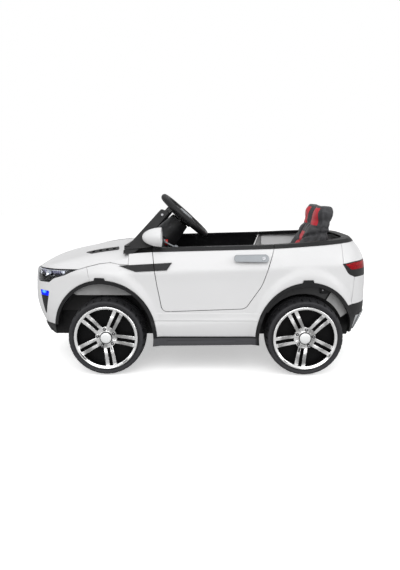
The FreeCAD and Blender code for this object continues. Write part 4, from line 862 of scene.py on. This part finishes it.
def bulb_bowl(x, z, radius):
    """Turned paraboloid: the radius grows with the root of the height; a short lip turns its edge back."""
    run = np.linspace(0, 1, 14)
    dish = np.stack([radius * np.sqrt(run), 0.009 * run - 0.008], -1)
    lip = [[radius * 1.12, 0.001], [radius * 1.12, -0.001]]
    return turned(np.concatenate([dish, lip]), *bulb_place(x, z), 36)


def bulb_eye(x, z, radius):
    """Turned quarter circle: half a ball, half as wide as the bowl."""
    angle = np.linspace(0, np.pi / 2, 10)
    ball = np.stack([0.5 * radius * np.sin(angle), 0.5 * radius * np.cos(angle) - 0.005], -1)
    return turned(ball, *bulb_place(x, z), 28)


def lamp_backing():
    """Fluted sheet behind the bowls: the nose oval drawn in about 18 mm, waved by a sine along its length."""
    u, v = unit_grid(120, 14)
    x = -0.519 + 0.119 * u
    low, high = 0.2925 + 0.018 * u, 0.3145 + 0.003 * u
    depth = 0.0188 - 0.0012 * np.sin(34 * np.pi * u) ** 2
    points = np.stack([x, -nose_skin(x, depth), low + (high - low) * v], -1)
    return points.reshape(-1, 3), grid_faces(*u.shape)


def lamp_shroud():
    """Dark sheet in the lamp's rear tip: the nose oval drawn in 8 mm, narrowing almost to a point."""
    u, v = unit_grid(40, 10)
    x = -0.412 + 0.044 * u
    low, high = 0.3045 + 0.0195 * u, 0.3215 + 0.003 * u
    points = np.stack([x, -nose_skin(x, SHROUD_DEPTH), low + (high - low) * v], -1)
    return points.reshape(-1, 3), grid_faces(*u.shape)


class RIDEON_OT_lamps(bpy.types.Operator):
    """Bright bowls, bulbs, bars, fluted backing and shroud inside the headlights"""
    bl_idname = "rideon.lamps"
    bl_label = "Lamp insides"

    def execute(self, context):
        chrome = plated("lamp_chrome", (0.82, 0.84, 0.88), 0.06, 0.0006)
        glass = lit_lens("projector_glass", (0.6, 0.66, 0.78), 0.25, 300.0)
        tint = plated("lamp_tint", (0.42, 0.42, 0.56), 0.16, 0.0006)
        glow = lit_lens("bulb_glow", (0.9, 0.92, 1.0), 1.2, 300.0)
        dark = grained_plastic("lamp_shroud", context.scene.rideon_colours.trim, 0.3, 900.0, 0.0002)
        run = np.linspace(0, 1, 60)
        bars = [lamp_bar(-0.529 + 0.137 * run, 0.3135 + 0.0045 * run, BAR_DEPTH, BAR_RADIUS),
                lamp_bar(-0.529 + 0.105 * run, 0.2905 + 0.0125 * run, BAR_DEPTH, BAR_RADIUS)]
        bowls = [bulb_bowl(*bulb) for bulb in BULBS]
        eyes = [bulb_eye(*bulb) for bulb in BULBS]
        fitting("headlight_bowls", on_both_sides(bowls + bars), chrome, "car_body")
        fitting("headlight_eyes", on_both_sides(eyes[:2]), glass, "car_body")
        fitting("headlight_bulbs", on_both_sides(eyes[2:]), glow, "car_body")
        fitting("headlight_backing", on_both_sides([lamp_backing()]), tint, "car_body")
        fitting("headlight_shroud", on_both_sides([lamp_shroud()]), dark, "car_body")
        return {"FINISHED"}


def arch_height(arch, x):
    """Height of a wheel arch's half ellipse above the floor."""
    middle, half, rise = arch
    return FRONT_AXLE[1] + rise * np.sqrt(np.clip(1 - ((x - middle) / half) ** 2, 0, 1))


def tail_share(x):
    """Share of the half width that the tail's squared oval leaves at x."""
    return (1 - np.clip(np.abs(x) / TAIL_REACH, 0, 1) ** TAIL_POWER) ** (1 / TAIL_POWER)


def liner_side(x):
    """Side of the liner faces: level in the middle, drawn in with the body's ovals at nose and tail."""
    half = np.where(x < 0, nose_skin(x, 0.0), NOSE_HALF * tail_share(x))
    return -np.minimum(LINER_HALF, half - LINER_INSET)


def thick_sheet(x, y, z, depth):
    """Upright sheet from three grids of places, given a depth across and closed round its edges."""
    rows, columns = x.shape
    face = np.stack([x, y, z], -1)
    back = face + np.array([0.0, depth, 0.0])
    rim = np.concatenate([face, back[:, ::-1]], 1)
    ends = np.concatenate([rim[:1], rim, rim[-1:]])
    ends[0] = rim[0].mean(0)
    ends[-1] = rim[-1].mean(0)
    return ends.reshape(-1, 3), grid_faces(rows + 2, 2 * columns, close_columns=True)


def front_liner_face():
    """Grey face over the front wheel: arch line above, a straight edge with cut corners below."""
    u, v = unit_grid(60, 10)
    along = 2 * u - 1
    x = FRONT_ARCH[0] + 0.108 * along
    low = 0.2435 + 0.012 * smooth_step(0.78, 1.0, np.abs(along))
    high = arch_height(FRONT_ARCH, x) + ARCH_LAP
    return thick_sheet(x, liner_side(x), low + (high - low) * v, LINER_SHEET)


def rear_liner_face(start, end):
    """Part of a ring round the rear wheel: between a circle clear of the tyre and the arch line."""
    u, v = unit_grid(60, 10)
    angle = np.radians(start + (end - start) * u)
    way = np.stack([np.cos(angle), np.sin(angle)], -1)
    inner = np.array(REAR_AXLE) + TYRE_CLEAR * way
    outer = np.array([REAR_ARCH[0], REAR_AXLE[1]]) + (np.array(REAR_ARCH[1:]) + ARCH_LAP) * way
    place = inner + (outer - inner) * v[..., None]
    return thick_sheet(place[..., 0], liner_side(place[..., 0]), place[..., 1], LINER_SHEET)


def skid_wing():
    """Front end of the rear skid plate: the bumper's squared oval, wider and longer with height."""
    u, v = unit_grid(24, 16)
    rise = 0.05 * v
    z = 0.1225 + rise
    x = 0.4895 + 0.1 * rise + 0.021 * u
    half, reach = 0.2814 + 0.197 * (z - 0.135), 0.5237 + 0.47 * (z - 0.135)
    return thick_sheet(x, -half * (1 - (x / reach) ** TAIL_POWER) ** (1 / TAIL_POWER), z, 0.006)


class RIDEON_OT_hardware(bpy.types.Operator):
    """Liner faces, skid plate ends, brackets, screws, door locks and wheel centres"""
    bl_idname = "rideon.hardware"
    bl_label = "Small hardware"

    def execute(self, context):
        c = context.scene.rideon_colours
        trim = grained_plastic("clip_black", c.trim, 0.4, shine=0.22)
        steel = zinc_steel("screw_zinc", (0.5, 0.5, 0.52))
        silver = silver_paint("lock_silver", (0.42, 0.43, 0.45), 0.25)
        bright = silver_paint("disc_silver", (0.82, 0.83, 0.83), 0.3)
        self.liners(c)
        self.brackets(context.scene.rideon_sizes.screw, trim, steel)
        for name, side in SIDES:
            lock = turned(LOCK_PROFILE, (0.194, side * 0.2902, 0.3625), (0, side, 0.3), 28)
            fitting("lock_disc_" + name, [lock], silver, "door_" + name)
            for end, axle, spoke in (("front", FRONT_AXLE, FRONT_SPOKE), ("rear", REAR_AXLE, REAR_SPOKE)):
                self.wheel_centre(end + "_" + name, axle, side, spoke, (bright, trim, steel))
        return {"FINISHED"}

    def liners(self, c):
        """Faces over the wheels, grey, with the front and top of each rear ring in a dark copy as painted
        shade; and the ends of the rear skid plate.
        """
        grey = grained_plastic("liner_face", c.liner, 0.55, 500.0)
        # painted shade: the same liner face in the dark wheel-well colour where the ring lies in shade
        dark = grained_plastic("liner_painted_shade", c.well_and_painted_shade, 0.55, 500.0)
        wing = silver_paint("skid_silver", c.skid)
        faces = [front_liner_face(), rear_liner_face(24, 58)]
        fitting("liner_faces", on_both_sides(faces), grey, "car_body")
        # painted shade over the front and top of each rear ring
        fitting("liner_painted_shades", on_both_sides([rear_liner_face(60, 148)]), dark, "car_body")
        fitting("skid_wings", on_both_sides([skid_wing()]), wing, "car_body")

    def brackets(self, head, trim, steel):
        """Bracket over each rear wheel with its two screws, and the screw of the windscreen frame."""
        block = pillow_block((0.388, -0.238, 0.2615), (0.018, 0.02, 0.0115), 0.25)
        fitting("liner_brackets", on_both_sides([block]), trim, "car_body")
        screws = [screw_head((-0.113, -0.2195, 0.488), (0.0, -1.0, 0.26), head)]
        screws += [screw_head((x, -0.2584, 0.2615), (0.0, -1.0, 0.0), 0.7 * head) for x in (0.379, 0.397)]
        fitting("frame_screws", on_both_sides(screws), steel, "car_body")

    def wheel_centre(self, name, axle, side, spoke, finishes):
        """Domed centre disc in a dark groove, and five bolt heads in dark sockets between the spokes."""
        silver, trim, steel = finishes
        body, axis = "wheel_" + name, (0, side, 0)
        disc = turned(DISC_PROFILE, (axle[0], side * DISC_FACE, axle[1]), axis, 40)
        fitting("centre_disc_" + name, [disc], silver, body)
        angles = np.radians(spoke + 360.0 / SPOKES * (np.arange(SPOKES) + 0.5))
        spots = np.stack([axle[0] + BOLT_CIRCLE * np.cos(angles), np.full(SPOKES, side * HUB_FACE),
                          axle[1] + BOLT_CIRCLE * np.sin(angles)], -1)
        dark = [turned(GROOVE_PROFILE, (axle[0], side * HUB_FACE, axle[1]), axis, 40)]
        dark += [turned(SOCKET_PROFILE, spot, axis, 24) for spot in spots]
        fitting("wheel_sockets_" + name, dark, trim, body)
        bolts = [screw_head(spot, axis, BOLT_HEAD) for spot in spots]
        fitting("wheel_bolts_" + name, bolts, steel, body)


def quarter_trim():
    """Pale inner face behind each door: it follows the tail's oval and leans outwards with height."""
    u, v = unit_grid(30, 8)
    x = 0.238 + 0.15 * u
    return thick_sheet(x, -(0.243 + 0.0085 * v) * tail_share(x), 0.305 + 0.08 * v, -LINER_SHEET)


def speaker(side):
    """Rim and three thin rings: small closed profiles turned about one axis."""
    centre, axis = (-0.062, side * 0.2668, 0.255), (0, -side, 0)
    rings = [turned(SPEAKER_PROFILE, centre, axis, 44)]
    for r in (0.004, 0.009, 0.014):
        profile = [(r, 0.0), (r + 0.001, 0.0012), (r + 0.0024, 0.0), (r + 0.0024, -0.003), (r, -0.003),
                   (r, 0.0)]
        rings.append(turned(profile, centre, axis, 36))
    return rings


class RIDEON_OT_cabin(bpy.types.Operator):
    """Dash panel and knobs, quarter trims, door armrests and speaker rings"""
    bl_idname = "rideon.cabin"
    bl_label = "Cabin fittings"

    def execute(self, context):
        c = context.scene.rideon_colours
        gloss = glossy_shell("panel_gloss", (0.012, 0.012, 0.014), 0.16, 0.0006)
        trim = grained_plastic("cabin_black", c.trim, 0.5, 600.0)
        silver = silver_paint("ring_silver", c.silver, 0.3)
        pale = glossy_shell("quarter_pale", c.shell, 0.5)
        panel = pillow_block((-0.1135, 0.135, 0.374), (0.0035, 0.052, 0.026), 0.22)
        knobs = [turned(KNOB_PROFILE, (-0.1100, y, 0.366), (1, 0, 0), 32) for y in (0.098, 0.172)]
        keys = [pillow_block((-0.1098, y, 0.361), (0.003, 0.0062, 0.0036), 0.3)
                for y in (0.118, 0.135, 0.152)]
        fitting("dash_panel", [panel], gloss, "car_body")
        fitting("quarter_trims", on_both_sides([quarter_trim()]), pale, "car_body")
        fitting("dash_knobs", knobs + keys, silver, "car_body")
        for name, side in SIDES:
            rest = pillow_block((0.045, side * 0.2605, 0.318), (0.085, 0.0125, 0.011))
            fitting("armrest_" + name, [rest], trim, "door_" + name)
            fitting("speaker_" + name, speaker(side), trim, "door_" + name)
        return {"FINISHED"}


class RIDEON_PT_panel(bpy.types.Panel):
    """Buttons for each group of pieces"""
    bl_idname = "RIDEON_PT_panel"
    bl_label = "Ride-on car"
    bl_space_type = "VIEW_3D"
    bl_region_type = "UI"
    bl_category = "Ride-on car"

    def draw(self, context):
        for operator in OPERATORS:
            self.layout.operator(operator.bl_idname)
        for group in (context.scene.rideon_colours, context.scene.rideon_sizes):
            for key in group.__annotations__:
                self.layout.prop(group, key)


OPERATORS = (RIDEON_OT_stage, RIDEON_OT_finishes, RIDEON_OT_seat, RIDEON_OT_lamps, RIDEON_OT_hardware,
             RIDEON_OT_cabin)
CLASSES = (RideOnColours, RideOnSizes) + OPERATORS + (RIDEON_PT_panel,)


def register():
    for item in CLASSES:
        bpy.utils.register_class(item)
    bpy.types.Scene.rideon_colours = bpy.props.PointerProperty(type=RideOnColours)
    bpy.types.Scene.rideon_sizes = bpy.props.PointerProperty(type=RideOnSizes)


def unregister():
    del bpy.types.Scene.rideon_sizes
    del bpy.types.Scene.rideon_colours
    for item in reversed(CLASSES):
        bpy.utils.unregister_class(item)


def main():
    """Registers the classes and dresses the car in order."""
    register()
    bpy.ops.rideon.stage()
    bpy.ops.rideon.finishes()
    bpy.ops.rideon.seat()
    bpy.ops.rideon.lamps()
    bpy.ops.rideon.hardware()
    bpy.ops.rideon.cabin()


if __name__ == "__main__":
    main()
